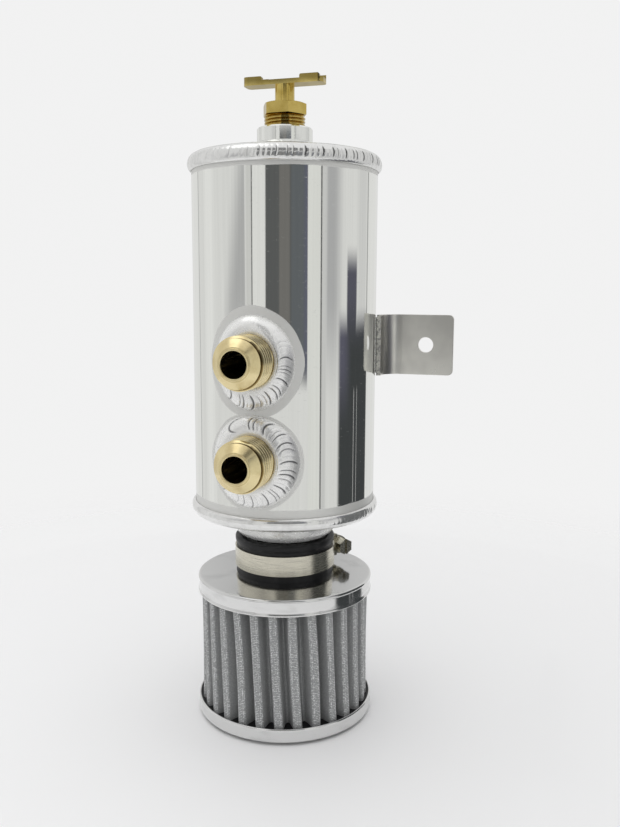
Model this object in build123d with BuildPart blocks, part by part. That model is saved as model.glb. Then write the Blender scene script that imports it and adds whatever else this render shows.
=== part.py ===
"""Oil catch can with a clamped breather filter, two flare ports and a drain tap.

The can stands on its filter, as a can does on the bench before it is turned over and fitted. +Z is
the axis of the can, the ports face -Y and the mounting bracket is on the +X side. Millimetres.
"""
from math import cos, pi, radians, sin, tan
import os

from build123d import *

os.makedirs("parts", exist_ok=True)

# Filter, from the surface that it stands on
base_proud = 1.2  # moulded foot below the base cap
base_cap_height = 6.6
base_cap_margin = 2.0  # outside of the base cap past the pleats
base_flange = 5.0  # rim of the base cap turned in under the foot
pleat_window = 51.2  # height of pleats seen between the two caps
pleat_count = 28
pleat_radius = 39.0
pleat_depth = 9.5
media_thickness = 0.8
crest_share = 0.27  # half width of a pleat's crest, as a share of the pitch
valley_share = 0.19  # half width of a pleat's valley, as a share of the pitch
top_cap_skirt = 7.6
top_cap_margin = 1.6  # outside of the upper cap past the pleats
top_cap_rise = 1.2  # the cap's shallow cone, from its shoulder up to the neck
cap_sheet = 0.8
cap_shoulder_round = 1.4
potting_inset = 1.4  # edge of a cap past the end of the pleats
neck_rubber_radius = 22.5
neck_rubber_height = 19.2  # above the cap's cone
fit_gap = 0.05  # between pieces that are pushed, moulded or screwed together

# Can
bare_neck = 10.0  # from the end plate to the rubber
neck_radius = 19.0
neck_wall = 2.5
neck_engagement = 15.0  # length of the neck inside the rubber
neck_inside = 2.0  # length of the neck inside the can
neck_weld_leg = 8.0
neck_weld_height = 8.6
can_height = 160.0  # over both end plates
tube_radius = 41.0
tube_wall = 2.5
plate_thickness = 4.0
plate_inset = 1.3  # edge of an end plate inside the outside of the tube
drain_rim_height = 7.2
breather_rim_height = 6.2
rim_proud = 1.8  # rim weld outside the tube
rim_crown = 2.4  # rounding of a rim weld over the end plate
weld_gap = 0.1  # between pieces that are welded together

# Ports
lower_port_rise = 30.4  # above the lower end of the can
port_spacing = 41.6
port_thread_radius = 11.11
port_thread_stand = 5.6  # start of the outer thread, outside the tube
port_thread_length = 8.0
port_thread_lead = 0.7  # chamfer at the start of the thread
port_bore_radius = 5.5
port_nose_radius = 6.33
port_cone_radius = 10.1
port_cone_angle = 37.0
port_relief_depth = 1.1
port_groove_width = 1.0
port_groove_depth = 0.6
port_bung_radius = 12.7
port_bung_stand = 4.3  # face of a bung outside the tube
port_bung_inside = 2.0  # past the inside of the tube
port_weld_radius = 19.0
port_weld_stand = 2.9  # height of a weld halfway across, outside the tube
port_weld_skirt = 1.3  # spread of the weld down the sides of the tube

# Bracket
bracket_sheet = 2.0
bracket_height = 27.6
bracket_rise = 75.8  # its middle above the lower end of the can
bracket_inset = 1.4  # leg on the can, inside the radius of the tube
bracket_front = 12.7  # front edge of that leg, behind the axis of the can
bracket_leg = 25.2  # back of the outer leg, behind the axis of the can
bracket_length = 31.3  # outer leg, from the outside of the leg on the can
bracket_bend = 8.0  # inside radius
bracket_corner = 2.2
bracket_hole_radius = 3.5
bracket_hole_offset = 18.7  # hole, from the outside of the leg on the can
bracket_weld_width = 3.4
bracket_weld_setback = 0.4  # weld behind the front edge of the leg
bracket_weld_short = 1.2  # weld short of the leg at each end

# Drain tap
bung_radius = 12.2
bung_height = 10.35
bung_inside = 2.0
bung_edge = 0.6
bung_weld_leg = 5.6
tap_thread_radius = 8.57
tap_thread_shown = 5.5
tap_thread_depth = 8.5
tap_hex = 17.5
tap_hex_height = 4.9
tap_hex_chamfer = 0.9
tap_hex_turn = -63.0
seat_thickness = 3.0
seat_radius = 2.5
stem_radius = 4.25
stem_shown = 7.8
stem_tip_radius = 1.5
stem_bore_radius = 1.4
stem_cross_radius = 1.0
stem_cross_lift = 1.5  # cross hole above the cone
stem_spigot_radius = 3.0
running_gap = 0.05
seat_gap = 0.3
seal_section = 1.0
seal_height = 1.9
seal_lift = 2.9  # seal groove above the cone
handle_span = 36.2
handle_width = 8.0
handle_sheet = 2.0
handle_corner = 2.2
handle_turn = 0.5
flange_rise = 1.6
flange_length = 8.8
flange_sheet = 2.0
flange_stagger = 1.5  # inner flange behind the end of the strip
flange_round = 0.7

# Hose clamp
clamp_lift = 2.35  # screw housing above the cone of the cap
clamp_width = 9.0
clamp_sheet = 0.7
clamp_azimuth = 145.0  # of the screw housing, from -Y towards +X
clamp_tail_arc = 78.0
clamp_slot_count = 12
clamp_slot_width = 1.3
clamp_slot_length = 6.0
clamp_slot_tilt = 8.0
clamp_slot_pitch = 5.6
worm_radius = 3.5
worm_gap = 0.15  # worm above the band
housing_length = 12.0
housing_wall = 0.8
screw_hex = 7.0
screw_head = 4.6
screw_collar = 1.0
screw_collar_radius = 4.2
screw_slot_width = 1.2
screw_slot_depth = 1.6
screw_end_gap = 0.2

# Heights that follow
base_cap_bottom = base_proud
base_cap_top = base_cap_bottom + base_cap_height
top_cap_bottom = base_cap_top + pleat_window
top_cap_shoulder = top_cap_bottom + top_cap_skirt
top_cap_crown = top_cap_shoulder + top_cap_rise
neck_rubber_top = top_cap_crown + neck_rubber_height
can_bottom = neck_rubber_top + bare_neck
can_top = can_bottom + can_height
tube_bottom = can_bottom + plate_thickness
tube_top = can_top - plate_thickness
pleat_bottom = base_cap_top - potting_inset
pleat_top = top_cap_bottom + potting_inset
bung_top = can_top + bung_height
hex_bottom = bung_top + tap_thread_shown
hex_top = hex_bottom + tap_hex_height
strip_bottom = hex_top + stem_shown
strip_top = strip_bottom + handle_sheet
tap_bottom = bung_top - tap_thread_depth
seat_bottom = tap_bottom + seat_thickness

# Places that follow
base_cap_radius = pleat_radius + base_cap_margin
base_foot_radius = base_cap_radius - base_flange
top_cap_radius = pleat_radius + top_cap_margin
plate_radius = tube_radius - plate_inset
tube_bore = tube_radius - tube_wall
lower_port_height = can_bottom + lower_port_rise
upper_port_height = lower_port_height + port_spacing
port_thread_start = tube_radius + port_thread_stand
port_bung_face = tube_radius + port_bung_stand
port_weld_crown = tube_radius + port_weld_stand
bracket_middle = can_bottom + bracket_rise
bracket_bottom = bracket_middle - bracket_height / 2
bracket_inner = tube_radius - bracket_inset
bracket_outer = bracket_inner + bracket_sheet
bracket_reach = bracket_outer + bracket_length
bracket_hole_reach = bracket_outer + bracket_hole_offset


# Filter: moulded foot, caps, pleated element and rubber neck
with BuildPart() as filter_base:
    foot_inner = base_cap_radius - cap_sheet - fit_gap
    with BuildSketch(Plane.XZ):
        with BuildLine():
            Polyline(
                (0, 0),
                (base_foot_radius - fit_gap, 0),
                (base_foot_radius - fit_gap, base_cap_bottom + cap_sheet + fit_gap),
                (foot_inner, base_cap_bottom + cap_sheet + fit_gap),
                (foot_inner, pleat_bottom),
                (0, pleat_bottom),
                close=True,
            )
        make_face()
    revolve(axis=Axis.Z)
filter_base.part.label = "filter_base"
export_step(filter_base.part, "parts/filter_base.step")

with BuildPart() as filter_base_cap:
    with BuildSketch(Plane.XZ):
        with BuildLine():
            Polyline(
                (base_foot_radius, base_cap_bottom),
                (base_cap_radius, base_cap_bottom),
                (base_cap_radius, base_cap_top),
                (base_cap_radius - cap_sheet, base_cap_top),
                (base_cap_radius - cap_sheet, base_cap_bottom + cap_sheet),
                (base_foot_radius, base_cap_bottom + cap_sheet),
                close=True,
            )
        make_face()
    revolve(axis=Axis.Z)
    lower_rims = filter_base_cap.edges().filter_by(GeomType.CIRCLE).group_by(Axis.Z)[0]
    fillet(lower_rims.sort_by(SortBy.RADIUS)[-1], cap_shoulder_round)
filter_base_cap.part.label = "filter_base_cap"
export_step(filter_base_cap.part, "parts/filter_base_cap.step")

with BuildPart() as filter_element:
    pitch = 360 / pleat_count
    valley_radius = pleat_radius - pleat_depth
    crest_half = crest_share * pitch
    valley_half = valley_share * pitch
    with BuildSketch(Plane.XY.offset(pleat_bottom)):
        with BuildLine():
            for index in range(pleat_count):
                middle = index * pitch
                valley = middle + pitch / 2
                crest_arc = CenterArc((0, 0), pleat_radius, middle - crest_half, 2 * crest_half)
                valley_arc = CenterArc((0, 0), valley_radius, valley - valley_half, 2 * valley_half)
                Line(crest_arc @ 1, valley_arc @ 0)
                next_crest = Vector(pleat_radius, 0).rotate(Axis.Z, middle + pitch - crest_half)
                Line(valley_arc @ 1, next_crest)
        make_face()
        offset(amount=-media_thickness, kind=Kind.INTERSECTION, mode=Mode.SUBTRACT)
    extrude(amount=pleat_top - pleat_bottom)
filter_element.part.label = "filter_element"
export_step(filter_element.part, "parts/filter_element.step")

with BuildPart() as filter_top_cap:
    cap_bore = neck_rubber_radius + fit_gap
    with BuildSketch(Plane.XZ):
        with BuildLine():
            Polyline(
                (cap_bore, top_cap_crown),
                (top_cap_radius, top_cap_shoulder),
                (top_cap_radius, top_cap_bottom),
                (top_cap_radius - cap_sheet, top_cap_bottom),
                (top_cap_radius - cap_sheet, top_cap_shoulder - cap_sheet),
                (cap_bore, top_cap_crown - cap_sheet),
                close=True,
            )
        make_face()
    revolve(axis=Axis.Z)
    shoulder = filter_top_cap.edges().filter_by(GeomType.CIRCLE).group_by(SortBy.RADIUS)[-1]
    fillet(shoulder.sort_by(Axis.Z)[-1], cap_shoulder_round)
filter_top_cap.part.label = "filter_top_cap"
export_step(filter_top_cap.part, "parts/filter_top_cap.step")

with BuildPart() as filter_neck:
    neck_bore = neck_radius + fit_gap
    flange_radius = top_cap_radius - cap_sheet - fit_gap
    with BuildSketch(Plane.XZ):
        with BuildLine():
            Polyline(
                (neck_bore, pleat_top),
                (flange_radius, pleat_top),
                (flange_radius, top_cap_shoulder - cap_sheet - fit_gap),
                (neck_rubber_radius, top_cap_crown - cap_sheet - fit_gap),
                (neck_rubber_radius, neck_rubber_top),
                (neck_bore, neck_rubber_top),
                close=True,
            )
        make_face()
    revolve(axis=Axis.Z)
filter_neck.part.label = "filter_neck"
export_step(filter_neck.part, "parts/filter_neck.step")


# Can: tube, end plates, rim welds and the neck for the filter
with BuildPart() as tank_tube:
    with BuildSketch(Plane.XY.offset(tube_bottom)):
        Circle(tube_radius)
        Circle(tube_bore, mode=Mode.SUBTRACT)
    extrude(amount=tube_top - tube_bottom)
    for port_height in (lower_port_height, upper_port_height):
        with BuildSketch(Plane(origin=(0, 0, port_height), x_dir=(1, 0, 0), z_dir=(0, -1, 0))):
            Circle(port_bung_radius + weld_gap)
        extrude(amount=2 * tube_radius, mode=Mode.SUBTRACT)
tank_tube.part.label = "tank_tube"
export_step(tank_tube.part, "parts/tank_tube.step")

with BuildPart() as drain_end_plate:
    with BuildSketch(Plane.XY.offset(tube_top)):
        Circle(plate_radius)
        Circle(bung_radius + weld_gap, mode=Mode.SUBTRACT)
    extrude(amount=plate_thickness)
drain_end_plate.part.label = "drain_end_plate"
export_step(drain_end_plate.part, "parts/drain_end_plate.step")

with BuildPart() as breather_end_plate:
    with BuildSketch(Plane.XY.offset(can_bottom)):
        Circle(plate_radius)
        Circle(neck_radius + weld_gap, mode=Mode.SUBTRACT)
    extrude(amount=plate_thickness)
breather_end_plate.part.label = "breather_end_plate"
export_step(breather_end_plate.part, "parts/breather_end_plate.step")

with BuildPart() as drain_end_weld:
    rim_radius = tube_radius + rim_proud
    rim_foot = can_top - drain_rim_height
    with BuildSketch(Plane.XZ):
        with BuildLine():
            Polyline(
                (rim_radius - rim_crown, can_top),
                (plate_radius, can_top),
                (plate_radius, tube_top),
                (tube_radius, tube_top),
                (tube_radius, rim_foot),
            )
            RadiusArc((tube_radius, rim_foot), (rim_radius, rim_foot + rim_proud), -rim_proud)
            Line((rim_radius, rim_foot + rim_proud), (rim_radius, can_top - rim_crown))
            RadiusArc((rim_radius, can_top - rim_crown), (rim_radius - rim_crown, can_top), -rim_crown)
        make_face()
    revolve(axis=Axis.Z)
drain_end_weld.part.label = "drain_end_weld"
export_step(drain_end_weld.part, "parts/drain_end_weld.step")

with BuildPart() as breather_end_weld:
    rim_top = can_bottom + breather_rim_height
    with BuildSketch(Plane.XZ):
        with BuildLine():
            Polyline(
                (rim_radius - rim_crown, can_bottom),
                (plate_radius, can_bottom),
                (plate_radius, tube_bottom),
                (tube_radius, tube_bottom),
                (tube_radius, rim_top),
            )
            RadiusArc((tube_radius, rim_top), (rim_radius, rim_top - rim_proud), rim_proud)
            Line((rim_radius, rim_top - rim_proud), (rim_radius, can_bottom + rim_crown))
            RadiusArc((rim_radius, can_bottom + rim_crown), (rim_radius - rim_crown, can_bottom), rim_crown)
        make_face()
    revolve(axis=Axis.Z)
breather_end_weld.part.label = "breather_end_weld"
export_step(breather_end_weld.part, "parts/breather_end_weld.step")

with BuildPart() as breather_neck:
    neck_bottom = neck_rubber_top - neck_engagement
    with BuildSketch(Plane.XY.offset(neck_bottom)):
        Circle(neck_radius)
        Circle(neck_radius - neck_wall, mode=Mode.SUBTRACT)
    extrude(amount=tube_bottom + neck_inside - neck_bottom)
breather_neck.part.label = "breather_neck"
export_step(breather_neck.part, "parts/breather_neck.step")

with BuildPart() as breather_neck_weld:
    weld_toe = neck_radius + neck_weld_leg
    weld_tip = can_bottom - neck_weld_height
    with BuildSketch(Plane.XZ):
        with BuildLine():
            Polyline((neck_radius, weld_tip), (neck_radius, can_bottom), (weld_toe, can_bottom))
            RadiusArc((weld_toe, can_bottom), (neck_radius, weld_tip), 2 * neck_weld_height)
        make_face()
    revolve(axis=Axis.Z)
breather_neck_weld.part.label = "breather_neck_weld"
export_step(breather_neck_weld.part, "parts/breather_neck_weld.step")


# Ports: a bung in the wall, its weld and a flare fitting screwed into it
for port_name, port_height in (("upper", upper_port_height), ("lower", lower_port_height)):
    port_plane = Plane(origin=(0, 0, port_height), x_dir=(0, -1, 0), z_dir=(-1, 0, 0))
    port_axis = Axis((0, 0, port_height), (0, -1, 0))
    bung_end = tube_bore - port_bung_inside
    thread_end = port_thread_start + port_thread_length
    groove_start = thread_end + port_thread_lead
    cone_start = groove_start + port_groove_width
    nose_face = cone_start + (port_cone_radius - port_nose_radius) / tan(radians(port_cone_angle))

    with BuildPart() as port_bung:
        bung_bore = port_thread_radius + fit_gap
        with BuildSketch(port_plane):
            with Locations(((bung_end + port_bung_face) / 2, (bung_bore + port_bung_radius) / 2)):
                Rectangle(port_bung_face - bung_end, port_bung_radius - bung_bore)
        revolve(axis=port_axis)
    port_bung.part.label = f"{port_name}_port_bung"
    export_step(port_bung.part, f"parts/{port_name}_port_bung.step")

    with BuildPart() as port_weld:
        with BuildSketch(port_plane):
            with BuildLine():
                weld_face = ThreePointArc(
                    (port_bung_face - weld_gap, port_bung_radius),
                    (port_weld_crown, (port_bung_radius + port_weld_radius) / 2),
                    (tube_radius, port_weld_radius),
                )
                Polyline(
                    weld_face @ 1,
                    (bung_end, port_weld_radius + port_weld_skirt),
                    (bung_end, port_bung_radius),
                    weld_face @ 0,
                )
            make_face()
        revolve(axis=port_axis)
        with BuildSketch(Plane.XY.offset(can_bottom)):
            Circle(tube_radius)
        extrude(amount=can_height, mode=Mode.SUBTRACT)
    port_weld.part.label = f"{port_name}_port_weld"
    export_step(port_weld.part, f"parts/{port_name}_port_weld.step")

    with BuildPart() as port_fitting:
        relief_radius = port_thread_radius - port_relief_depth
        groove_radius = port_cone_radius - port_groove_depth
        with BuildSketch(port_plane):
            with BuildLine():
                Polyline(
                    (bung_end, port_bore_radius),
                    (bung_end, port_thread_radius),
                    (port_bung_face, port_thread_radius),
                    (port_bung_face, relief_radius),
                    (port_thread_start, relief_radius),
                    (port_thread_start, port_thread_radius),
                    (thread_end, port_thread_radius),
                    (groove_start, port_thread_radius - port_thread_lead),
                    (groove_start, groove_radius),
                    (cone_start, groove_radius),
                    (cone_start, port_cone_radius),
                    (nose_face, port_nose_radius),
                    (nose_face, port_bore_radius),
                    close=True,
                )
            make_face()
        revolve(axis=port_axis)
    port_fitting.part.label = f"{port_name}_port_fitting"
    export_step(port_fitting.part, f"parts/{port_name}_port_fitting.step")


# Bracket: a folded angle, welded to the can behind the front edge of its inner leg
with BuildPart() as mounting_bracket:
    with BuildSketch(Plane.XY.offset(bracket_bottom)):
        with BuildLine():
            Polyline(
                (bracket_inner, bracket_front),
                (bracket_outer, bracket_front),
                (bracket_outer, bracket_leg - bracket_sheet),
                (bracket_reach, bracket_leg - bracket_sheet),
                (bracket_reach, bracket_leg),
                (bracket_inner, bracket_leg),
                close=True,
            )
        make_face()
    extrude(amount=bracket_height)
    inside_edges = mounting_bracket.edges().filter_by(Axis.Z).group_by(Axis.X)[1]
    fillet(inside_edges.sort_by(Axis.Y)[-1], bracket_bend)
    outside_edges = mounting_bracket.edges().filter_by(Axis.Z).group_by(Axis.X)[0]
    fillet(outside_edges.sort_by(Axis.Y)[-1], bracket_bend + bracket_sheet)
    end_edges = mounting_bracket.edges().filter_by(Axis.Y).group_by(Axis.X)[-1]
    fillet(end_edges, bracket_corner)
    hole_centre = (bracket_hole_reach, bracket_leg, bracket_middle)
    with BuildSketch(Plane(origin=hole_centre, x_dir=(1, 0, 0), z_dir=(0, -1, 0))):
        Circle(bracket_hole_radius)
    extrude(amount=bracket_sheet, mode=Mode.SUBTRACT)
mounting_bracket.part.label = "mounting_bracket"
export_step(mounting_bracket.part, "parts/mounting_bracket.step")

with BuildPart() as bracket_weld:
    with BuildSketch(Plane.XY.offset(bracket_bottom + bracket_weld_short)):
        with BuildLine():
            weld_front = bracket_front + bracket_weld_setback
            weld_root = bracket_inner - 2 * bracket_sheet
            weld_back = weld_front + bracket_weld_width
            Polyline(
                (weld_root, weld_front),
                (bracket_inner, weld_front),
                (bracket_inner, weld_back),
                (weld_root, weld_back),
                close=True,
            )
        make_face()
        Circle(tube_radius, mode=Mode.SUBTRACT)
    extrude(amount=bracket_height - 2 * bracket_weld_short)
bracket_weld.part.label = "bracket_weld"
export_step(bracket_weld.part, "parts/bracket_weld.step")


# Drain: a bung in the end plate and a screw-down tap
with BuildPart() as drain_bung:
    with BuildSketch(Plane.XY.offset(tube_top - bung_inside)):
        Circle(bung_radius)
        Circle(tap_thread_radius + fit_gap, mode=Mode.SUBTRACT)
    extrude(amount=bung_top - tube_top + bung_inside)
    chamfer(drain_bung.edges().group_by(Axis.Z)[-1].sort_by(SortBy.RADIUS)[-1], bung_edge)
drain_bung.part.label = "drain_bung"
export_step(drain_bung.part, "parts/drain_bung.step")

with BuildPart() as drain_bung_weld:
    with BuildSketch(Plane.XZ):
        with BuildLine():
            bung_toe = bung_radius + bung_weld_leg
            Polyline((bung_radius, can_top + bung_weld_leg), (bung_radius, can_top), (bung_toe, can_top))
            RadiusArc((bung_toe, can_top), (bung_radius, can_top + bung_weld_leg), -2 * bung_weld_leg)
        make_face()
    revolve(axis=Axis.Z)
drain_bung_weld.part.label = "drain_bung_weld"
export_step(drain_bung_weld.part, "parts/drain_bung_weld.step")

stem_bore = stem_radius + running_gap
seat_top = seat_bottom + stem_bore - seat_radius

with BuildPart() as tap_body:
    with BuildSketch(Plane.XY.offset(tap_bottom)):
        Circle(tap_thread_radius)
    extrude(amount=hex_bottom - tap_bottom)
    with BuildSketch(Plane.XY.offset(hex_bottom)):
        RegularPolygon(tap_hex / 2, 6, major_radius=False, rotation=tap_hex_turn)
    extrude(amount=tap_hex_height)
    with BuildSketch(Plane.XZ):
        corner = tap_hex / 2 / cos(pi / 6)
        with BuildLine():
            Polyline(
                (tap_hex / 2, hex_top),
                (corner + tap_hex_chamfer, hex_top - tap_hex_chamfer),
                (corner + tap_hex_chamfer, hex_top + tap_hex_chamfer),
                (tap_hex / 2, hex_top + tap_hex_chamfer),
                close=True,
            )
        make_face()
    revolve(axis=Axis.Z, mode=Mode.SUBTRACT)
    with BuildSketch(Plane.XZ):
        with BuildLine():
            Polyline(
                (0, tap_bottom),
                (seat_radius, tap_bottom),
                (seat_radius, seat_bottom),
                (stem_bore, seat_top),
                (stem_bore, hex_top),
                (0, hex_top),
                close=True,
            )
        make_face()
    revolve(axis=Axis.Z, mode=Mode.SUBTRACT)
tap_body.part.label = "tap_body"
export_step(tap_body.part, "parts/tap_body.step")

cone_bottom = seat_bottom + seat_gap + stem_tip_radius - seat_radius
cone_top = cone_bottom + stem_radius - stem_tip_radius
groove_bottom = cone_top + seal_lift
groove_top = groove_bottom + seal_height + 2 * running_gap
groove_inner = stem_radius - seal_section

with BuildPart() as tap_stem:
    cross_height = cone_top + stem_cross_lift
    with BuildSketch(Plane.XZ):
        with BuildLine():
            Polyline(
                (0, cone_bottom),
                (stem_tip_radius, cone_bottom),
                (stem_radius, cone_top),
                (stem_radius, groove_bottom),
                (groove_inner, groove_bottom),
                (groove_inner, groove_top),
                (stem_radius, groove_top),
                (stem_radius, strip_bottom),
                (stem_spigot_radius, strip_bottom),
                (stem_spigot_radius, strip_top),
                (0, strip_top),
                close=True,
            )
        make_face()
    revolve(axis=Axis.Z)
    with BuildSketch(Plane.XY.offset(strip_top)):
        Circle(stem_bore_radius)
    extrude(amount=cross_height - strip_top, mode=Mode.SUBTRACT)
    with BuildSketch(Plane(origin=(0, 0, cross_height), x_dir=(1, 0, 0), z_dir=(0, -1, 0))):
        Circle(stem_cross_radius)
    extrude(amount=2 * stem_radius, both=True, mode=Mode.SUBTRACT)
tap_stem.part.label = "tap_stem"
export_step(tap_stem.part, "parts/tap_stem.step")

with BuildPart() as stem_seal:
    with BuildSketch(Plane.XY.offset(groove_bottom + running_gap)):
        Circle(stem_radius)
        Circle(groove_inner + running_gap, mode=Mode.SUBTRACT)
    extrude(amount=seal_height)
stem_seal.part.label = "stem_seal"
export_step(stem_seal.part, "parts/stem_seal.step")

with BuildPart() as tap_handle:
    handle_plane = Plane.XY.offset(strip_bottom).rotated((0, 0, handle_turn))
    outer_reach = handle_span / 2 - flange_length / 2
    inner_reach = outer_reach - flange_stagger
    edge_reach = (handle_width - flange_sheet) / 2
    with BuildSketch(handle_plane):
        RectangleRounded(handle_span, handle_width, handle_corner)
        Circle(stem_spigot_radius, mode=Mode.SUBTRACT)
    extrude(amount=handle_sheet)
    with BuildSketch(handle_plane.offset(handle_sheet)):
        with Locations(
            (inner_reach, -edge_reach),
            (outer_reach, edge_reach),
            (-outer_reach, -edge_reach),
            (-inner_reach, edge_reach),
        ):
            Rectangle(flange_length, flange_sheet)
        RectangleRounded(handle_span, handle_width, handle_corner, mode=Mode.INTERSECT)
    extrude(amount=flange_rise)
    flange_ends = tap_handle.edges().filter_by(Axis((0, 0, 0), handle_plane.y_dir)).group_by(Axis.Z)[-1]
    fillet(flange_ends, flange_round)
tap_handle.part.label = "tap_handle"
export_step(tap_handle.part, "parts/tap_handle.step")


# Hose clamp: slotted band, screw housing and worm screw
band_bottom = top_cap_crown + clamp_lift + housing_wall
band_middle = band_bottom + clamp_width / 2
band_radius = neck_rubber_radius + fit_gap
tail_radius = band_radius + clamp_sheet
tail_outer = tail_radius + clamp_sheet
screw_reach = tail_outer + worm_gap + worm_radius
clamp_head = Vector(-cos(radians(clamp_azimuth)), -sin(radians(clamp_azimuth)), 0)
screw_plane = Plane(origin=(0, 0, band_middle), x_dir=(0, 0, -1), z_dir=clamp_head)

with BuildPart() as clamp_band:
    with BuildSketch(Plane.XY.offset(band_bottom)):
        Circle(tail_radius)
        Circle(band_radius, mode=Mode.SUBTRACT)
    extrude(amount=clamp_width)
    tail_lead = housing_length / 2 / tail_outer * 180 / pi
    with BuildSketch(Plane.XZ.rotated((0, 0, clamp_azimuth - 90 - tail_lead))):
        with Locations(((tail_radius + tail_outer) / 2, band_middle)):
            Rectangle(clamp_sheet, clamp_width)
    revolve(axis=Axis.Z, revolution_arc=clamp_tail_arc + tail_lead)
    for index in range(clamp_slot_count):
        slot_turn = clamp_azimuth + clamp_tail_arc - clamp_slot_pitch * (index + 1)
        slot_out = Vector(sin(radians(slot_turn)), -cos(radians(slot_turn)), 0)
        slot_centre = slot_out * tail_radius + Vector(0, 0, band_middle)
        with BuildSketch(Plane(origin=slot_centre, x_dir=(0, 0, 1), z_dir=slot_out)):
            Rectangle(clamp_slot_length, clamp_slot_width, rotation=clamp_slot_tilt)
        extrude(amount=2 * clamp_sheet, mode=Mode.SUBTRACT)
clamp_band.part.label = "clamp_band"
export_step(clamp_band.part, "parts/clamp_band.step")

with BuildPart() as clamp_housing:
    barrel_bore = worm_radius + running_gap
    barrel_radius = barrel_bore + housing_wall
    side_bottom = band_radius + fit_gap
    cheek = clamp_width + 2 * housing_wall
    with BuildSketch(screw_plane.offset(-housing_length / 2)):
        with Locations((0, screw_reach)):
            Circle(barrel_radius)
        with Locations((0, (side_bottom + screw_reach) / 2 - housing_wall)):
            Rectangle(cheek, screw_reach - side_bottom)
    extrude(amount=housing_length)
    with BuildSketch(screw_plane.offset(-housing_length / 2)):
        with Locations((0, screw_reach)):
            Circle(barrel_bore)
    extrude(amount=housing_length, mode=Mode.SUBTRACT)
    with BuildSketch(Plane.XY.offset(band_bottom - fit_gap)):
        Circle(tail_outer + fit_gap)
    extrude(amount=clamp_width + 2 * fit_gap, mode=Mode.SUBTRACT)
    with BuildSketch(Plane.XY.offset(band_bottom - cheek)):
        Circle(side_bottom)
    extrude(amount=3 * cheek, mode=Mode.SUBTRACT)
clamp_housing.part.label = "clamp_housing"
export_step(clamp_housing.part, "parts/clamp_housing.step")

with BuildPart() as clamp_screw:
    collar_start = housing_length / 2 + screw_end_gap
    head_start = collar_start + screw_collar
    with BuildSketch(screw_plane.offset(-housing_length / 2)):
        with Locations((0, screw_reach)):
            Circle(worm_radius)
    extrude(amount=housing_length / 2 + collar_start)
    with BuildSketch(screw_plane.offset(collar_start)):
        with Locations((0, screw_reach)):
            Circle(screw_collar_radius)
    extrude(amount=screw_collar)
    with BuildSketch(screw_plane.offset(head_start)):
        with Locations((0, screw_reach)):
            RegularPolygon(screw_hex / 2, 6, major_radius=False)
    extrude(amount=screw_head)
    with BuildSketch(screw_plane.offset(head_start + screw_head - screw_slot_depth)):
        with Locations((0, screw_reach)):
            Rectangle(2 * screw_hex, screw_slot_width)
    extrude(amount=screw_slot_depth, mode=Mode.SUBTRACT)
clamp_screw.part.label = "clamp_screw"
export_step(clamp_screw.part, "parts/clamp_screw.step")
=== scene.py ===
"""Oil catch can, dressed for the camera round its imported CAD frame.

Every piece lies in the frame of the part: +Z up the axis of the can, the ports towards -Y and the
bracket on the +X side. Work in the making is in millimetres, and a released piece is in metres. Sizes
are read from the frame's nodes, and the few that only the dressing needs are fields of its classes.
"""

import logging
import math
from dataclasses import dataclass
from enum import Enum
from functools import cached_property
from typing import Any, Callable, Mapping, Sequence, Union

import bmesh
import bpy
from bmesh.types import BMEdge, BMesh, BMLayerItem, BMVert
from mathutils import Matrix, Vector
from mathutils.geometry import interpolate_bezier


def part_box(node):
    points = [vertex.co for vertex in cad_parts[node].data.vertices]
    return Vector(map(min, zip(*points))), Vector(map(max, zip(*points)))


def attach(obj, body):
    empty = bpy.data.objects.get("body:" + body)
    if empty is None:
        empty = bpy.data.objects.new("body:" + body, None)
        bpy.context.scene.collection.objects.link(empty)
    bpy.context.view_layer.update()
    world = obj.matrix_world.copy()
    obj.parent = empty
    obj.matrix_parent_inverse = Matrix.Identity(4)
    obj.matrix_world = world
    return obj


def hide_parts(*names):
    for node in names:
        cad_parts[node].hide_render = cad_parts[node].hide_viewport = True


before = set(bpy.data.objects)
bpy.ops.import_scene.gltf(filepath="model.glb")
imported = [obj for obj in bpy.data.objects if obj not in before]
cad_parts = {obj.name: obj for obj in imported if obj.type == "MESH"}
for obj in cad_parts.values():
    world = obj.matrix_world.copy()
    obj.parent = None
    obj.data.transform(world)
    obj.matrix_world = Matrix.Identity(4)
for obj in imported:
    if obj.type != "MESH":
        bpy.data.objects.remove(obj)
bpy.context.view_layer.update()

MM = 0.001
MERGE = 1e-6
FLAT = math.radians(0.6)
UP = Vector((0.0, 0.0, 1.0))
MIX_BELOW, MIX_ABOVE, MIX_RESULT = 6, 7, 2
log = logging.getLogger("catch_can")

Socket = bpy.types.NodeSocket
Term = Union["Field", float]
Pair = tuple[float, float]
Triple = tuple[float, float, float]
Span = tuple[float, float, float, float]
Colour = Triple
Tone = Union[Colour, Socket]


class Body(Enum):
    """The rigid bodies that pieces ride on."""

    CAN = "can"
    SPINDLE = "tap_spindle"
    SCREW = "clamp_screw"


class Slot(Enum):
    """The record's material slots."""

    POLISHED = "polished_aluminium"
    WELD = "weld_aluminium"
    BRACKET = "bracket_aluminium"
    FITTING = "fitting_brass"
    TAP = "tap_brass"
    CHROME = "cap_chrome"
    CLAMP = "clamp_steel"
    RUBBER = "black_rubber"
    MEDIA = "filter_media"


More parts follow.
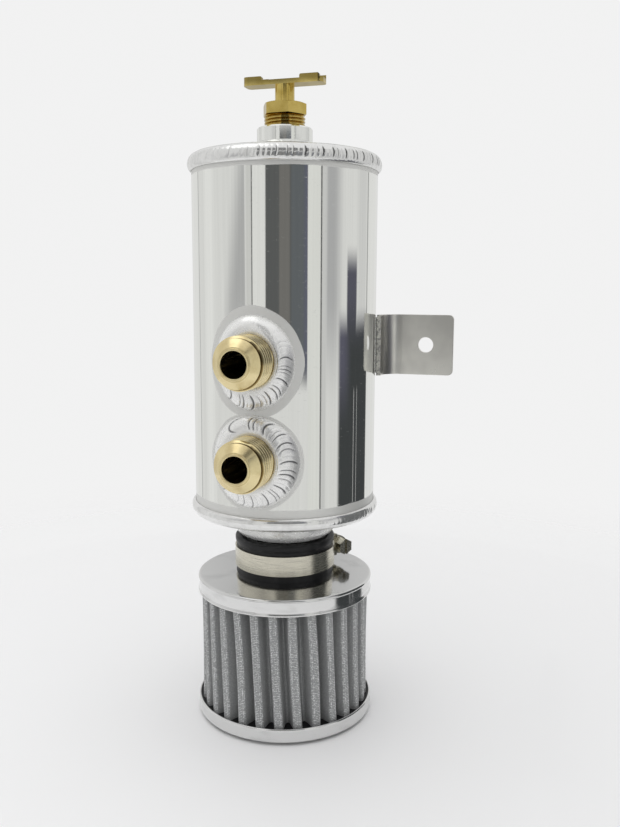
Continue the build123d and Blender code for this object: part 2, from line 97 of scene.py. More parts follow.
class Field:
    """A number that varies over a surface, as a node socket that takes part in arithmetic."""

    def __init__(self, graph: "Graph", socket: Socket) -> None:
        """Wrap a socket of a graph."""
        self.graph, self.socket = graph, socket

    def __add__(self, other: Term) -> "Field":
        """Add a number or a field."""
        return self.graph.math("ADD", self, other)

    __radd__ = __add__

    def __sub__(self, other: Term) -> "Field":
        """Take a number or a field away."""
        return self.graph.math("SUBTRACT", self, other)

    def __rsub__(self, other: Term) -> "Field":
        """Take the field away from a number."""
        return self.graph.math("SUBTRACT", other, self)

    def __mul__(self, other: Term) -> "Field":
        """Multiply by a number or a field."""
        return self.graph.math("MULTIPLY", self, other)

    __rmul__ = __mul__

    def __truediv__(self, other: Term) -> "Field":
        """Divide by a number or a field."""
        return self.graph.math("DIVIDE", self, other)

    def __pow__(self, other: Term) -> "Field":
        """Raise to a power."""
        return self.graph.math("POWER", self, other)

    def __abs__(self) -> "Field":
        """Drop the sign."""
        return self.graph.math("ABSOLUTE", self)

    def wave(self, pitch: float) -> "Field":
        """Swing between -1 and 1 once in each pitch."""
        return self.graph.math("SINE", self * (math.tau / pitch))

    def most(self, other: Term) -> "Field":
        """Take the larger of two values."""
        return self.graph.math("MAXIMUM", self, other)

    def rise(self, low: float, high: float) -> "Field":
        """Go smoothly from 0 at one value to 1 at another.

        Args:
            low: Value where the result is 0.
            high: Value where the result is 1; it may be below low.

        Returns:
            The smooth step.
        """
        if low > high:
            return 1.0 - self.rise(high, low)
        settings = {"interpolation_type": "SMOOTHSTEP", "clamp": True}
        inputs = {"Value": self, "From Min": low, "From Max": high}
        return Field(self.graph, self.graph.node("ShaderNodeMapRange", settings, inputs).outputs[0])

    def within(self, sides: Span) -> "Field":
        """Go up to 1 between the first two values and back to 0 between the last two."""
        return self.rise(sides[0], sides[1]) * self.rise(sides[3], sides[2])


class Graph:
    """A node tree under construction."""

    def __init__(self, tree: bpy.types.NodeTree) -> None:
        """Take over a node tree and clear it."""
        self.tree = tree
        self.tree.nodes.clear()

    def node(
        self,
        kind: str,
        settings: Mapping[str, Any] | None = None,
        inputs: Mapping[str | int, Any] | None = None,
    ) -> bpy.types.Node:
        """Add a node.

        Args:
            kind: Type of the node.
            settings: Properties of the node, set before its sockets.
            inputs: Values, sockets or fields by the name or number of the socket.

        Returns:
            The new node.
        """
        node = self.tree.nodes.new(kind)
        for name, value in (settings or {}).items():
            setattr(node, name, value)
        for name, value in (inputs or {}).items():
            if isinstance(value, Field):
                value = value.socket
            if isinstance(value, Socket):
                self.tree.links.new(value, node.inputs[name])
            else:
                node.inputs[name].default_value = value
        return node

    def math(self, operation: str, *terms: Term) -> Field:
        """Add a Math node for an expression on values."""
        node = self.node("ShaderNodeMath", {"operation": operation}, dict(enumerate(terms)))
        return Field(self, node.outputs[0])

    def coordinates(self) -> Socket:
        """Give the place on the object in metres."""
        return self.node("ShaderNodeTexCoord").outputs["Object"]

    def place(self) -> tuple[Field, ...]:
        """Give the place on the object in millimetres along X, Y and Z."""
        parts = self.node("ShaderNodeSeparateXYZ", None, {"Vector": self.coordinates()}).outputs
        return tuple(Field(self, part) / MM for part in parts)

    def attribute(self, name: str) -> Field:
        """Read a number that the mesh carries."""
        node = self.node("ShaderNodeAttribute", {"attribute_name": name})
        return Field(self, node.outputs["Fac"])

    def noise(self, fine: float | Triple, detail: float = 2.0, shift: float = 0.0) -> Field:
        """Add noise on the object's own coordinates.

        Args:
            fine: Grains in a millimetre, every way or along X, Y and Z.
            detail: Octaves of finer grain.
            shift: Distance that the pattern is moved, for a second pattern unlike the first.

        Returns:
            Values between 0 and 1, mostly near a half.
        """
        grains = (fine, fine, fine) if isinstance(fine, float) else fine
        mapping = {
            "Vector": self.coordinates(),
            "Scale": tuple(grain / MM for grain in grains),
            "Location": (shift, shift, shift),
        }
        vector = self.node("ShaderNodeMapping", None, mapping).outputs[0]
        inputs = {"Vector": vector, "Scale": 1.0, "Detail": detail}
        return Field(self, self.node("ShaderNodeTexNoise", None, inputs).outputs[0])

    def tint(self, mask: Field, below: Tone, above: Tone) -> Socket:
        """Mix two colours by a mask.

        Args:
            mask: 0 for the first colour and 1 for the second.
            below: First colour, or the socket that gives it.
            above: Second colour, or the socket that gives it.

        Returns:
            The mixed colour's socket.
        """
        first, second = ((*c, 1.0) if isinstance(c, tuple) else c for c in (below, above))
        inputs = {0: mask, MIX_BELOW: first, MIX_ABOVE: second}
        return self.node("ShaderNodeMix", {"data_type": "RGBA"}, inputs).outputs[MIX_RESULT]

    def bump(self, height: Field, depth: float) -> Socket:
        """Turn a height into a bumped normal, given what a height of 1 is in millimetres."""
        inputs = {"Height": height, "Distance": depth * MM, "Strength": 1.0}
        return self.node("ShaderNodeBump", None, inputs).outputs[0]

    def glow(self, tone: Socket) -> Socket:
        """Add a shader that shows its own tone in any light."""
        return self.node("ShaderNodeEmission", None, {"Color": tone}).outputs[0]

    def clear(self) -> Socket:
        """Add a shader that isn't seen."""
        return self.node("ShaderNodeBsdfTransparent").outputs[0]

    def blend(self, mask: Field, below: Socket, above: Socket) -> Socket:
        """Mix two shaders by a mask, which is 0 for the first and 1 for the second."""
        return self.node("ShaderNodeMixShader", None, {0: mask, 1: below, 2: above}).outputs[0]

    def principled(self, **inputs: Any) -> Socket:
        """Add a Principled shader, given its sockets with _ for a space."""
        named = {name.replace("_", " "): value for name, value in inputs.items()}
        return self.node("ShaderNodeBsdfPrincipled", None, named).outputs[0]

    def close(self, shader: Socket) -> None:
        """Put a shader out as the material's surface."""
        self.node("ShaderNodeOutputMaterial", None, {"Surface": shader})

    def surface(self, **inputs: Any) -> None:
        """Close the tree with a Principled shader."""
        self.close(self.principled(**inputs))


def new_material(name: str) -> tuple[bpy.types.Material, Graph]:
    """Make a material and its empty node tree.

    Args:
        name: Name of the material.

    Returns:
        The material and the tree.
    """
    material = bpy.data.materials.new(name)
    material.use_nodes = True
    return material, Graph(material.node_tree)


@dataclass(frozen=True)
class Finish:
    """A surface finish for one of the record's slots, which paints its own material."""

    name: str
    slot: Slot

    def paint(self, graph: Graph) -> None:
        """Fill the material's node tree."""
        raise NotImplementedError

    @cached_property
    def material(self) -> bpy.types.Material:
        """The finish's material, made when it is first asked for."""
        material, graph = new_material(self.name)
        self.paint(graph)
        return material

    def coat(self, *nodes: str) -> None:
        """Give the finish to CAD nodes that keep their shape.

        Args:
            nodes: Names of the CAD nodes.
        """
        for node in nodes:
            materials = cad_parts[node].data.materials
            for index in range(len(materials)):
                materials[index] = self.material
            if not len(materials):
                materials.append(self.material)


@dataclass(frozen=True)
class Halo:
    """An oval dull zone round a port, by its centre's height, its half width and half height."""

    height: float
    width: float
    reach: float


@dataclass(frozen=True)
class Polish(Finish):
    """Polished aluminium with faint upright grain, dulled where the welds were cleaned."""

    slot: Slot = Slot.POLISHED
    colour: Colour = (0.885, 0.892, 0.86)
    dull_colour: Colour = (0.70, 0.70, 0.68)
    gloss: float = 0.045
    dull: float = 0.5
    bands: tuple[Pair, ...] = ()
    halos: tuple[Halo, ...] = ()

    def paint(self, graph: Graph) -> None:
        """Lay grain and flecks over the polish, and the dull zones by place.

        Args:
            graph: The material's node tree.
        """
        x, y, z = graph.place()
        grain = graph.noise((1.1, 1.1, 0.012), 3.0)
        fleck = graph.noise((0.35, 0.35, 4.0), 1.0, 3.0).rise(0.70, 0.76)
        clean = self.gloss + (grain - 0.5) * 0.035 + fleck * 0.22
        worn = tuple(0.965 * c for c in self.colour)
        bright = graph.tint(grain.rise(0.3, 0.7), self.colour, worn)
        zones = [self.band(graph, z, *band) for band in self.bands]
        zones += [self.oval(graph, x, y, z, halo) for halo in self.halos]
        if not zones:
            graph.surface(Base_Color=bright, Metallic=1.0, Roughness=clean)
            return
        dull = zones[0]
        for zone in zones[1:]:
            dull = dull.most(zone)
        blast = graph.noise(2.2, 2.0, 11.0)
        graph.surface(
            Base_Color=graph.tint(dull, bright, self.dull_colour),
            Metallic=1.0 - dull * 0.5,
            Roughness=clean + dull * (self.dull - self.gloss + (blast - 0.5) * 0.12),
            Normal=graph.bump(dull * blast, 0.006),
        )

    @staticmethod
    def band(graph: Graph, z: Field, low: float, high: float) -> Field:
        """Mark a level band with a slightly wandering edge."""
        edge = (graph.noise(0.08, 1.0, 7.0) - 0.5) * 1.2
        return (z + edge).within((low - 0.25, low + 0.25, high - 0.25, high + 0.25))

    @staticmethod
    def oval(graph: Graph, x: Field, y: Field, z: Field, halo: Halo) -> Field:
        """Mark an oval on the side that the ports are on.

        Args:
            graph: The material's node tree.
            x: Place along X.
            y: Place along Y.
            z: Place along Z.
            halo: The oval.

        Returns:
            1 inside the oval and 0 outside.
        """
        edge = (graph.noise(0.08, 1.0, 9.0) - 0.5) * 0.06
        level = (z - halo.height) / halo.reach
        out = ((x / halo.width) ** 2.0 + level**2.0) ** 0.5 + edge
        return out.rise(1.012, 0.988) * y.rise(0.0, -1.0)


@dataclass(frozen=True)
class WeldMetal(Finish):
    """Bright weld metal with a skin of fine wrinkles and painted shade in the valleys between its
    ripples.
    """

    slot: Slot = Slot.WELD
    colour: Colour = (0.90, 0.90, 0.89)
    shade: Colour = (0.83, 0.83, 0.82)
    # Painted shade: the colour laid into the valleys between the ripples.
    valley: Colour = (0.16, 0.16, 0.165)
    gloss: float = 0.24
    metal: float = 0.60
    # Range of the dip attribute over which the painted valley shade comes in.
    mark: Pair = (0.16, 0.50)

    def paint(self, graph: Graph) -> None:
        """Vary the gloss and colour in small patches and paint shade into the valleys.

        Args:
            graph: The material's node tree.
        """
        patch = graph.noise(0.30)
        skin = graph.noise(1.1, 2.0, 5.0)
        bright = graph.tint(patch.rise(0.45, 0.75), self.colour, self.shade)
        graph.surface(
            # The valley colour, laid by the dip attribute, is painted shade between the ripples.
            Base_Color=graph.tint(graph.attribute("dip").rise(*self.mark), bright, self.valley),
            Metallic=self.metal,
            Roughness=self.gloss + patch.rise(0.40, 0.75) * 0.10,
            Normal=graph.bump(skin, 0.008),
        )


@dataclass(frozen=True)
class SatinSheet(Finish):
    """Rolled sheet with a satin grain and faint clouds, and a torn grain on its front edge."""

    slot: Slot = Slot.BRACKET
    colour: Colour = (0.78, 0.77, 0.72)
    shade: Colour = (0.68, 0.67, 0.63)
    torn: Colour = (0.42, 0.42, 0.41)
    front: float = 0.0

    def paint(self, graph: Graph) -> None:
        """Lay the rolling grain upright, cloud the colour and break up the sheared edge.

        Args:
            graph: The material's node tree.
        """
        cloud = graph.noise(0.09)
        grain = graph.noise((3.0, 3.0, 0.08), 3.0, 2.0)
        tear = graph.noise(0.9, 3.0, 6.0).rise(0.42, 0.62)
        edge = graph.place()[1].rise(self.front + 0.55, self.front + 0.25)
        sheet = graph.tint(cloud.rise(0.35, 0.7), self.colour, self.shade)
        graph.surface(
            Base_Color=graph.tint(edge * tear, sheet, self.torn),
            Metallic=1.0,
            Roughness=0.30 + (cloud - 0.5) * 0.12 + (grain - 0.5) * 0.05 + edge * 0.2,
            Normal=graph.bump(grain * 0.05 + edge * tear, 0.03),
        )


@dataclass(frozen=True)
class TurnedBrass(Finish):
    """Brass from the lathe: faint tool marks, a thin uneven tarnish, dark thread valleys that are
    partly oxide and partly painted shade, and an optional band of painted shade towards the top.
    """

    slot: Slot = Slot.FITTING
    colour: Colour = (0.83, 0.71, 0.41)
    shade: Colour = (0.72, 0.59, 0.32)
    # Colour of the thread valleys and grooves, partly oxide and partly painted shade, and of the
    # painted shade towards the top.
    valley: Colour = (0.20, 0.13, 0.04)
    gloss: float = 0.21
    mark: Triple = (0.05, 3.5, 0.05)
    # Heights over which painted shade darkens the piece towards its top, None for no band.
    painted_top_shade: Pair | None = None

    def paint(self, graph: Graph) -> None:
        """Run the marks along the lathe's feed, vary the tarnish and lay the painted shade in the
        valleys and towards the top.

        Args:
            graph: The material's node tree.
        """
        tarnish = graph.noise(0.16, 3.0)
        marks = graph.noise(self.mark, 2.0, 4.0)
        skin = graph.tint(tarnish.rise(0.4, 0.72), self.colour, self.shade)
        # Painted shade: darker towards the top of the piece over the given heights.
        if self.painted_top_shade:
            height = graph.place()[2] + (tarnish - 0.5) * 0.8
            skin = graph.tint(height.rise(*self.painted_top_shade) * 0.75, skin, self.valley)
        graph.surface(
            # The dip attribute lays the valley colour into thread roots and grooves, partly painted
            # shade.
            Base_Color=graph.tint(graph.attribute("dip").rise(0.10, 0.80), skin, self.valley),
            Metallic=1.0,
            Roughness=self.gloss + (tarnish - 0.5) * 0.10 + (marks - 0.5) * 0.06,
            Normal=graph.bump(marks, 0.0016),
        )


@dataclass(frozen=True)
class Chrome(Finish):
    """Bright plating on pressed sheet, a little wavy."""

    slot: Slot = Slot.CHROME
    colour: Colour = (0.74, 0.74, 0.735)

    def paint(self, graph: Graph) -> None:
        """Ripple the sheet slightly and dim it with a few smears.

        Args:
            graph: The material's node tree.
        """
        smear = graph.noise((0.08, 0.08, 0.25))
        press = graph.noise(0.05, 1.0, 6.0)
        dim = tuple(0.88 * c for c in self.colour)
        graph.surface(
            Base_Color=graph.tint(smear.rise(0.5, 0.8), self.colour, dim),
            Metallic=1.0,
            Roughness=0.10 + smear.rise(0.4, 0.8) * 0.12,
            Normal=graph.bump(press, 0.12),
        )


@dataclass(frozen=True)
class StripSteel(Finish):
    """Rolled clamp strip with a warm passivated tone and grain along the strip."""

    slot: Slot = Slot.CLAMP
    colour: Colour = (0.66, 0.63, 0.53)
    shade: Colour = (0.54, 0.52, 0.45)

    def paint(self, graph: Graph) -> None:
        """Lay the grain round the neck."""
        grain = graph.noise((0.12, 0.12, 4.0), 3.0)
        graph.surface(
            Base_Color=graph.tint(grain.rise(0.4, 0.7), self.colour, self.shade),
            Metallic=1.0,
            Roughness=0.26 + (grain - 0.5) * 0.16,
            Normal=graph.bump(grain, 0.006),
        )


@dataclass(frozen=True)
class Rubber(Finish):
    """Moulded black rubber with a satin skin."""

    slot: Slot = Slot.RUBBER
    colour: Colour = (0.009, 0.009, 0.010)
    dust: Colour = (0.024, 0.024, 0.025)

    def paint(self, graph: Graph) -> None:
        """Pebble the skin and leave a little dust on it.

        Args:
            graph: The material's node tree.
        """
        pebble = graph.noise(2.4)
        dust = graph.noise(0.2, 4.0, 8.0)
        graph.surface(
            Base_Color=graph.tint(dust.rise(0.5, 0.8), self.colour, self.dust),
            Roughness=0.42 + (dust - 0.5) * 0.3,
            Specular_IOR_Level=0.3,
            Normal=graph.bump(pebble, 0.02),
        )


@dataclass(frozen=True)
class Gauze(Finish):
    """Grey pleated cloth under a woven wire screen."""

    slot: Slot = Slot.MEDIA
    cloth: Colour = (0.275, 0.28, 0.282)
    wire: Colour = (0.84, 0.85, 0.85)
    pitch: float = 0.78

    def paint(self, graph: Graph) -> None:
        """Weave the wires along the cloth and up it, with painted highlights on the crests and
        painted glints.

        Args:
            graph: The material's node tree.
        """
        height = graph.place()[2]
        run = graph.attribute("along") / MM
        jitter = graph.noise(0.7) - 0.5
        over = run.wave(self.pitch) * (height + jitter * 0.5).wave(self.pitch)
        warp, weft = (abs((way + jitter * 0.3).wave(2.0 * self.pitch)) for way in (run, height))
        thread = warp.most(weft).rise(0.80, 0.98)
        # Painted highlight: glints and the pleat crests brighten the wires' colour.
        glint = graph.noise(1.5, 1.0, 9.0).rise(0.40, 0.64)
        crest = run.rise(3.0, 1.6)
        shine = thread * (0.12 + 0.88 * glint) * (0.20 + 0.80 * crest)
        graph.surface(
            Base_Color=graph.tint(shine, self.cloth, self.wire),
            Metallic=shine * 0.35,
            Roughness=0.55 - shine * 0.2,
            Normal=graph.bump(thread * 0.7 + over * 0.15, 0.10),
        )


def at_radius(place: Vector, radius: float) -> Vector:
    """Put a place at another distance from the Z axis."""
    flat = place.xy.normalized() * radius
    return Vector((flat.x, flat.y, place.z))


def smooth(value: float) -> float:
    """Ease a value from 0 to 1, held at both ends."""
    value = min(1.0, max(0.0, value))
    return value * value * (3.0 - 2.0 * value)


@dataclass(frozen=True)
class Corner:
    """A corner of a turned section, with the length that its rounding takes from each side."""

    radius: float
    height: float
    round: float = 0.0


class Workpiece:
    """A mesh in the making. Turned work is modelled about the Z axis in millimetres."""

    def __init__(self) -> None:
        """Start with an empty mesh, which notes how deep in a valley each point lies, for the
        finishes to paint shade by.
        """
        self.mesh = bmesh.new()
        self.mesh.verts.layers.float.new("dip")

    def layer(self, name: str) -> BMLayerItem:
        """Find a number that the vertices carry, or start it."""
        layers = self.mesh.verts.layers.float
        return layers.get(name) or layers.new(name)

    @classmethod
    def copy_of(cls, node: str) -> "Workpiece":
        """Take a merged copy of a CAD node, in millimetres, with each flat as one face.

        Args:
            node: Name of the CAD node.

        Returns:
            The copy.
        """
        piece = cls()
        mesh = piece.mesh
        mesh.from_mesh(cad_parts[node].data)
        bmesh.ops.remove_doubles(mesh, verts=mesh.verts, dist=MERGE)
        bmesh.ops.scale(mesh, vec=(1 / MM, 1 / MM, 1 / MM), verts=mesh.verts)
        bmesh.ops.dissolve_limit(mesh, angle_limit=FLAT, verts=mesh.verts[:], edges=mesh.edges[:])
        return piece

    def line(self, points: Sequence[Sequence[float]], closed: bool = False) -> list[BMVert]:
        """Draw a line through a few points.

        Args:
            points: Places in millimetres.
            closed: True to join the last point to the first.

        Returns:
            The line's vertices.
        """
        verts = [self.mesh.verts.new(point) for point in points]
        for pair in zip(verts, verts[1:] + verts[:1] if closed else verts[1:]):
            self.mesh.edges.new(pair)
        return verts

    def soften(self, vert: BMVert, size: float, segments: int = 4) -> None:
        """Round a corner of a line, given the length taken from each side."""
        bmesh.ops.bevel(
            self.mesh, geom=[vert], offset=size, offset_type="OFFSET", segments=segments,
            profile=0.5, affect="VERTICES", material=-1,
        )

    def spin(
        self, steps: int, angle: float = math.tau, climb: float = 0.0, copies: bool = False
    ) -> None:
        """Turn everything drawn so far about the Z axis.

        Args:
            steps: Number of steps.
            angle: Whole turn, in radians.
            climb: Rise along Z at each step.
            copies: True to place copies instead of sweeping a surface.
        """
        full = not climb and not copies and math.isclose(angle, math.tau)
        bmesh.ops.spin(
            self.mesh, geom=self.mesh.verts[:] + self.mesh.edges[:], cent=(0, 0, 0), axis=UP,
            dvec=(0, 0, climb), angle=angle, steps=steps, use_merge=full, use_duplicate=copies,
        )
        self.weld()

    def weld(self) -> None:
        """Merge doubles and point the faces outwards."""
        bmesh.ops.remove_doubles(self.mesh, verts=self.mesh.verts[:], dist=MERGE / MM)
        bmesh.ops.recalc_face_normals(self.mesh, faces=self.mesh.faces[:])

    @classmethod
    def turned(cls, section: Sequence[Corner], steps: int = 128) -> "Workpiece":
        """Turn a closed section about the Z axis.

        Args:
            section: Corners in order.
            steps: Facets of a turn.

        Returns:
            The turned ring.
        """
        piece = cls()
        verts = piece.line([(c.radius, 0.0, c.height) for c in section], closed=True)
        for corner, vert in zip(section, verts):
            if corner.round:
                piece.soften(vert, corner.round)
        piece.spin(steps)
        return piece

    def slice(self, height: float, away: Vector) -> None:
        """Cut everything off above or below a level, as the direction says."""
        everything = self.mesh.verts[:] + self.mesh.edges[:] + self.mesh.faces[:]
        bmesh.ops.bisect_plane(
            self.mesh, geom=everything, plane_co=(0, 0, height), plane_no=away, clear_outer=True,
            dist=MERGE,
        )

    def shape(self, move: Callable[[Vector], Vector]) -> None:
        """Move each vertex by a rule on its place."""
        for vert in self.mesh.verts:
            vert.co = move(vert.co)

    def rims(self) -> list[BMEdge]:
        """List the open edges."""
        return [edge for edge in self.mesh.edges if edge.is_boundary]

    def close_behind(self, radius: float) -> None:
        """Turn both open rims in and join them, so that an open sleeve becomes a closed one.

        Args:
            radius: Radius of the hidden back.
        """
        turned_in = bmesh.ops.extrude_edge_only(self.mesh, edges=self.rims())["geom"]
        for vert in turned_in:
            if isinstance(vert, BMVert):
                vert.co = at_radius(vert.co, radius)
        edges = [edge for edge in turned_in if isinstance(edge, BMEdge) and edge.is_boundary]
        bmesh.ops.bridge_loops(self.mesh, edges=edges)
        self.weld()

    def cap(self) -> None:
        """Fill open rims flat."""
        bmesh.ops.triangle_fill(self.mesh, edges=self.rims(), use_beauty=True)
        bmesh.ops.recalc_face_normals(self.mesh, faces=self.mesh.faces[:])

    def ease(self, size: float, segments: int = 2, sharper_than: float = 30.0) -> "Workpiece":
        """Break the sharp edges.

        Args:
            size: Width taken from each face.
            segments: Facets of the rounding.
            sharper_than: Angle between faces, in degrees, from which an edge counts as sharp.

        Returns:
            The same piece.
        """
        limit = math.radians(sharper_than)
        pairs = [edge for edge in self.mesh.edges if len(edge.link_faces) == 2]
        bmesh.ops.bevel(
            self.mesh, geom=[edge for edge in pairs if edge.calc_face_angle() > limit], offset=size,
            offset_type="OFFSET", segments=segments, profile=0.5, affect="EDGES", material=-1,
            clamp_overlap=True,
        )
        return self

    def place(self, matrix: Matrix) -> "Workpiece":
        """Move the work, still in millimetres."""
        bmesh.ops.transform(self.mesh, matrix=matrix, verts=self.mesh.verts)
        return self

    def join(self, other: "Workpiece") -> "Workpiece":
        """Take other work into this piece.

        Args:
            other: The work, which is used up.

        Returns:
            The same piece.
        """
        carrier = bpy.data.meshes.new("carrier")
        other.mesh.to_mesh(carrier)
        other.mesh.free()
        self.mesh.from_mesh(carrier)
        bpy.data.meshes.remove(carrier)
        return self

    def release(
        self, name: str, finish: Finish, *nodes: str, body: Body = Body.CAN, crease: float = 32.0,
        level: bool = True,
    ) -> None:
        """Make the finished object, at the origin and in metres.

        Args:
            name: Name of the piece.
            finish: Its finish.
            nodes: CAD nodes that the piece replaces.
            body: Body that it rides on.
            crease: Angle, in degrees, from which an edge is shaded sharp.
            level: True to let large flats keep their own normal next to a rounding.
        """
        bmesh.ops.scale(self.mesh, vec=(MM, MM, MM), verts=self.mesh.verts)
        mesh = bpy.data.meshes.new(name)
        self.mesh.to_mesh(mesh)
        self.mesh.free()
        mesh.shade_smooth()
        mesh.set_sharp_from_angle(angle=math.radians(crease))
        mesh.materials.append(finish.material)
        piece = bpy.data.objects.new(name, mesh)
        bpy.context.scene.collection.objects.link(piece)
        if level:
            modifier = piece.modifiers.new("level", "WEIGHTED_NORMAL")
            modifier.keep_sharp = True
        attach(piece, body.value)
        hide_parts(*nodes)
        log.info("piece %s, %d faces", name, len(mesh.polygons))

    def release_bead(self, weld: str, finish: Finish, level: bool = False) -> None:
        """Make the finished bead for a CAD weld, shaded as one smooth skin."""
        self.release(weld.replace("weld", "bead"), finish, weld, crease=60.0, level=level)


@dataclass(frozen=True)
class Thread:
    """A vee thread up the Z axis, on a sleeve with a chamfer at each end.

    The radii are over the crests, in the valleys and at the hidden back of the sleeve. The pitch is
    the rise in a turn, the lead is the length of a chamfer, and the steps are the facets of a turn.
    The flats are shares of the pitch, each half as wide as the flat in a valley or on a crest.
    """

    crest: float
    root: float
    inner: float
    pitch: float
    start: float
    end: float
    lead: float
    steps: int
    valley_flat: float = 0.07
    crest_flat: float = 0.17

    def chamfer(self, place: Vector) -> Vector:
        """Bring a place on the thread inside the chamfers.

        Args:
            place: Place on the thread.

        Returns:
            The place, moved in where a chamfer cuts it.
        """
        inside = max(0.0, min(place.z - self.start, self.end - place.z))
        limit = self.root + (self.crest - self.root) * min(1.0, inside / self.lead)
        return at_radius(place, limit) if place.xy.length > limit else place.copy()

    def cut(self) -> Workpiece:
        """Sweep the thread up the axis, trim and chamfer it and close it behind.

        Returns:
            The threaded sleeve.
        """
        piece = Workpiece()
        crest, root, pitch = self.crest, self.root, self.pitch
        low, top = self.valley_flat * pitch, self.crest_flat * pitch
        turns = math.ceil((self.end - self.start) / pitch) + 2
        section = (
            (root, 0.0), (root, low), (crest, pitch / 2 - top), (crest, pitch / 2 + top),
            (root, pitch - low), (root, pitch),
        )
        # The dip attribute marks the valleys, which the finishes darken as painted shade.
        dip = piece.layer("dip")
        for vert in piece.line([(r, 0.0, self.start - 1.5 * pitch + rise) for r, rise in section]):
            vert[dip] = 1.0 if vert.co.x < crest else 0.0
        piece.spin(self.steps * turns, math.tau * turns, pitch / self.steps)
        piece.slice(self.start, -UP)
        piece.slice(self.end, UP)
        piece.shape(self.chamfer)
        piece.close_behind(self.inner)
        return piece


@dataclass(frozen=True)
class Extent:
    """Lowest and highest corners of a CAD node, in millimetres."""

    low: Vector
    high: Vector

    @classmethod
    def of(cls, node: str) -> "Extent":
        """Read a node's box from the frame."""
        low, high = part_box(node)
        return cls(Vector(low) / MM, Vector(high) / MM)

    @property
    def radius(self) -> float:
        """Half the width along X."""
        return (self.high.x - self.low.x) / 2

    @property
    def middle(self) -> Vector:
        """Centre of the box."""
        return (self.low + self.high) / 2


@dataclass(frozen=True)
class Bead:
    """A rippled weld bead laid round the Z axis; its section runs from toe to toe as one curve.

    The toes, the pulls that bend the curve and the root behind it are radii and heights. Ripples lie
    a pitch apart, pressed in to a depth, bowed across the bead and shown over a span of its section.
    Calm is a direction in degrees where they fade, and by how much; clump is where they crowd.
    """

    toes: tuple[Pair, Pair]
    pulls: tuple[Pair, Pair]
    root: Pair
    pitch: float = 2.2
    depth: float = 0.3
    bow: float = 0.9
    seed: float = 0.0
    span: Pair = (0.0, 1.0)
    calm: Pair = (0.0, 0.0)
    clump: Pair = (0.0, 0.0)
    sharp: float = 0.7
    points: int = 15
    fineness: int = 10

    @property
    def count(self) -> int:
        """Whole ripples in a turn."""
        return round(math.tau * (self.toes[0][0] + self.toes[1][0]) / 2 / self.pitch)

    def ripple(self, turn: float, across: float) -> float:
        """Work out how far into a valley between ripples a place lies.

        Args:
            turn: Angle round the axis.
            across: Place on the section, from 0 at one toe to 1 at the other.

        Returns:
            0 on the smooth bead and up to 1 in a full valley.
        """
        drift = 0.45 * math.sin(3 * turn + self.seed) + 0.22 * math.sin(8 * turn + 2.3 * self.seed)
        drift += self.clump[1] * math.sin(turn - math.radians(self.clump[0]))
        phase = self.count * turn / math.tau + self.bow * (2 * across - 1) ** 2 + drift
        wave = 1.0 - abs(math.sin(math.pi * phase)) ** self.sharp
        low, high = self.span
        inside = (across - low) / (high - low)
        edge = smooth(4 * inside) * smooth(4 * (1 - inside))
        own = 0.62 + 0.38 * math.sin(2.4 * (round(phase) % self.count) + self.seed)
        towards, share = self.calm
        still = 1.0 - share * smooth(0.6 + 0.7 * math.cos(turn - math.radians(towards)))
        return edge * own * still * wave

    def lay(self) -> Workpiece:
        """Turn the section and press the ripples in.

        Returns:
            The bead.
        """
        piece = Workpiece()
        across = piece.layer("across")
        knots = (self.toes[0], *self.pulls, self.toes[1])
        curve = interpolate_bezier(*(Vector((r, 0.0, h)) for r, h in knots), self.points)
        verts = piece.line([*curve, (self.root[0], 0.0, self.root[1])], closed=True)
        for index, vert in enumerate(verts):
            vert[across] = index / (self.points - 1) if index < self.points else -1.0
        piece.spin(self.count * self.fineness)
        across, dip = piece.layer("across"), piece.layer("dip")
        for vert in piece.mesh.verts:
            if vert[across] >= 0.0:
                behind = at_radius(vert.co, self.root[0])
                behind.z = self.root[1]
                inward = (behind - vert.co).normalized()
                # Dip presses the ripple valleys in and also sets the painted shade of the weld
                # finishes.
                vert[dip] = self.ripple(math.atan2(vert.co.y, vert.co.x), vert[across])
                vert.co += inward * self.depth * vert[dip]
        return piece


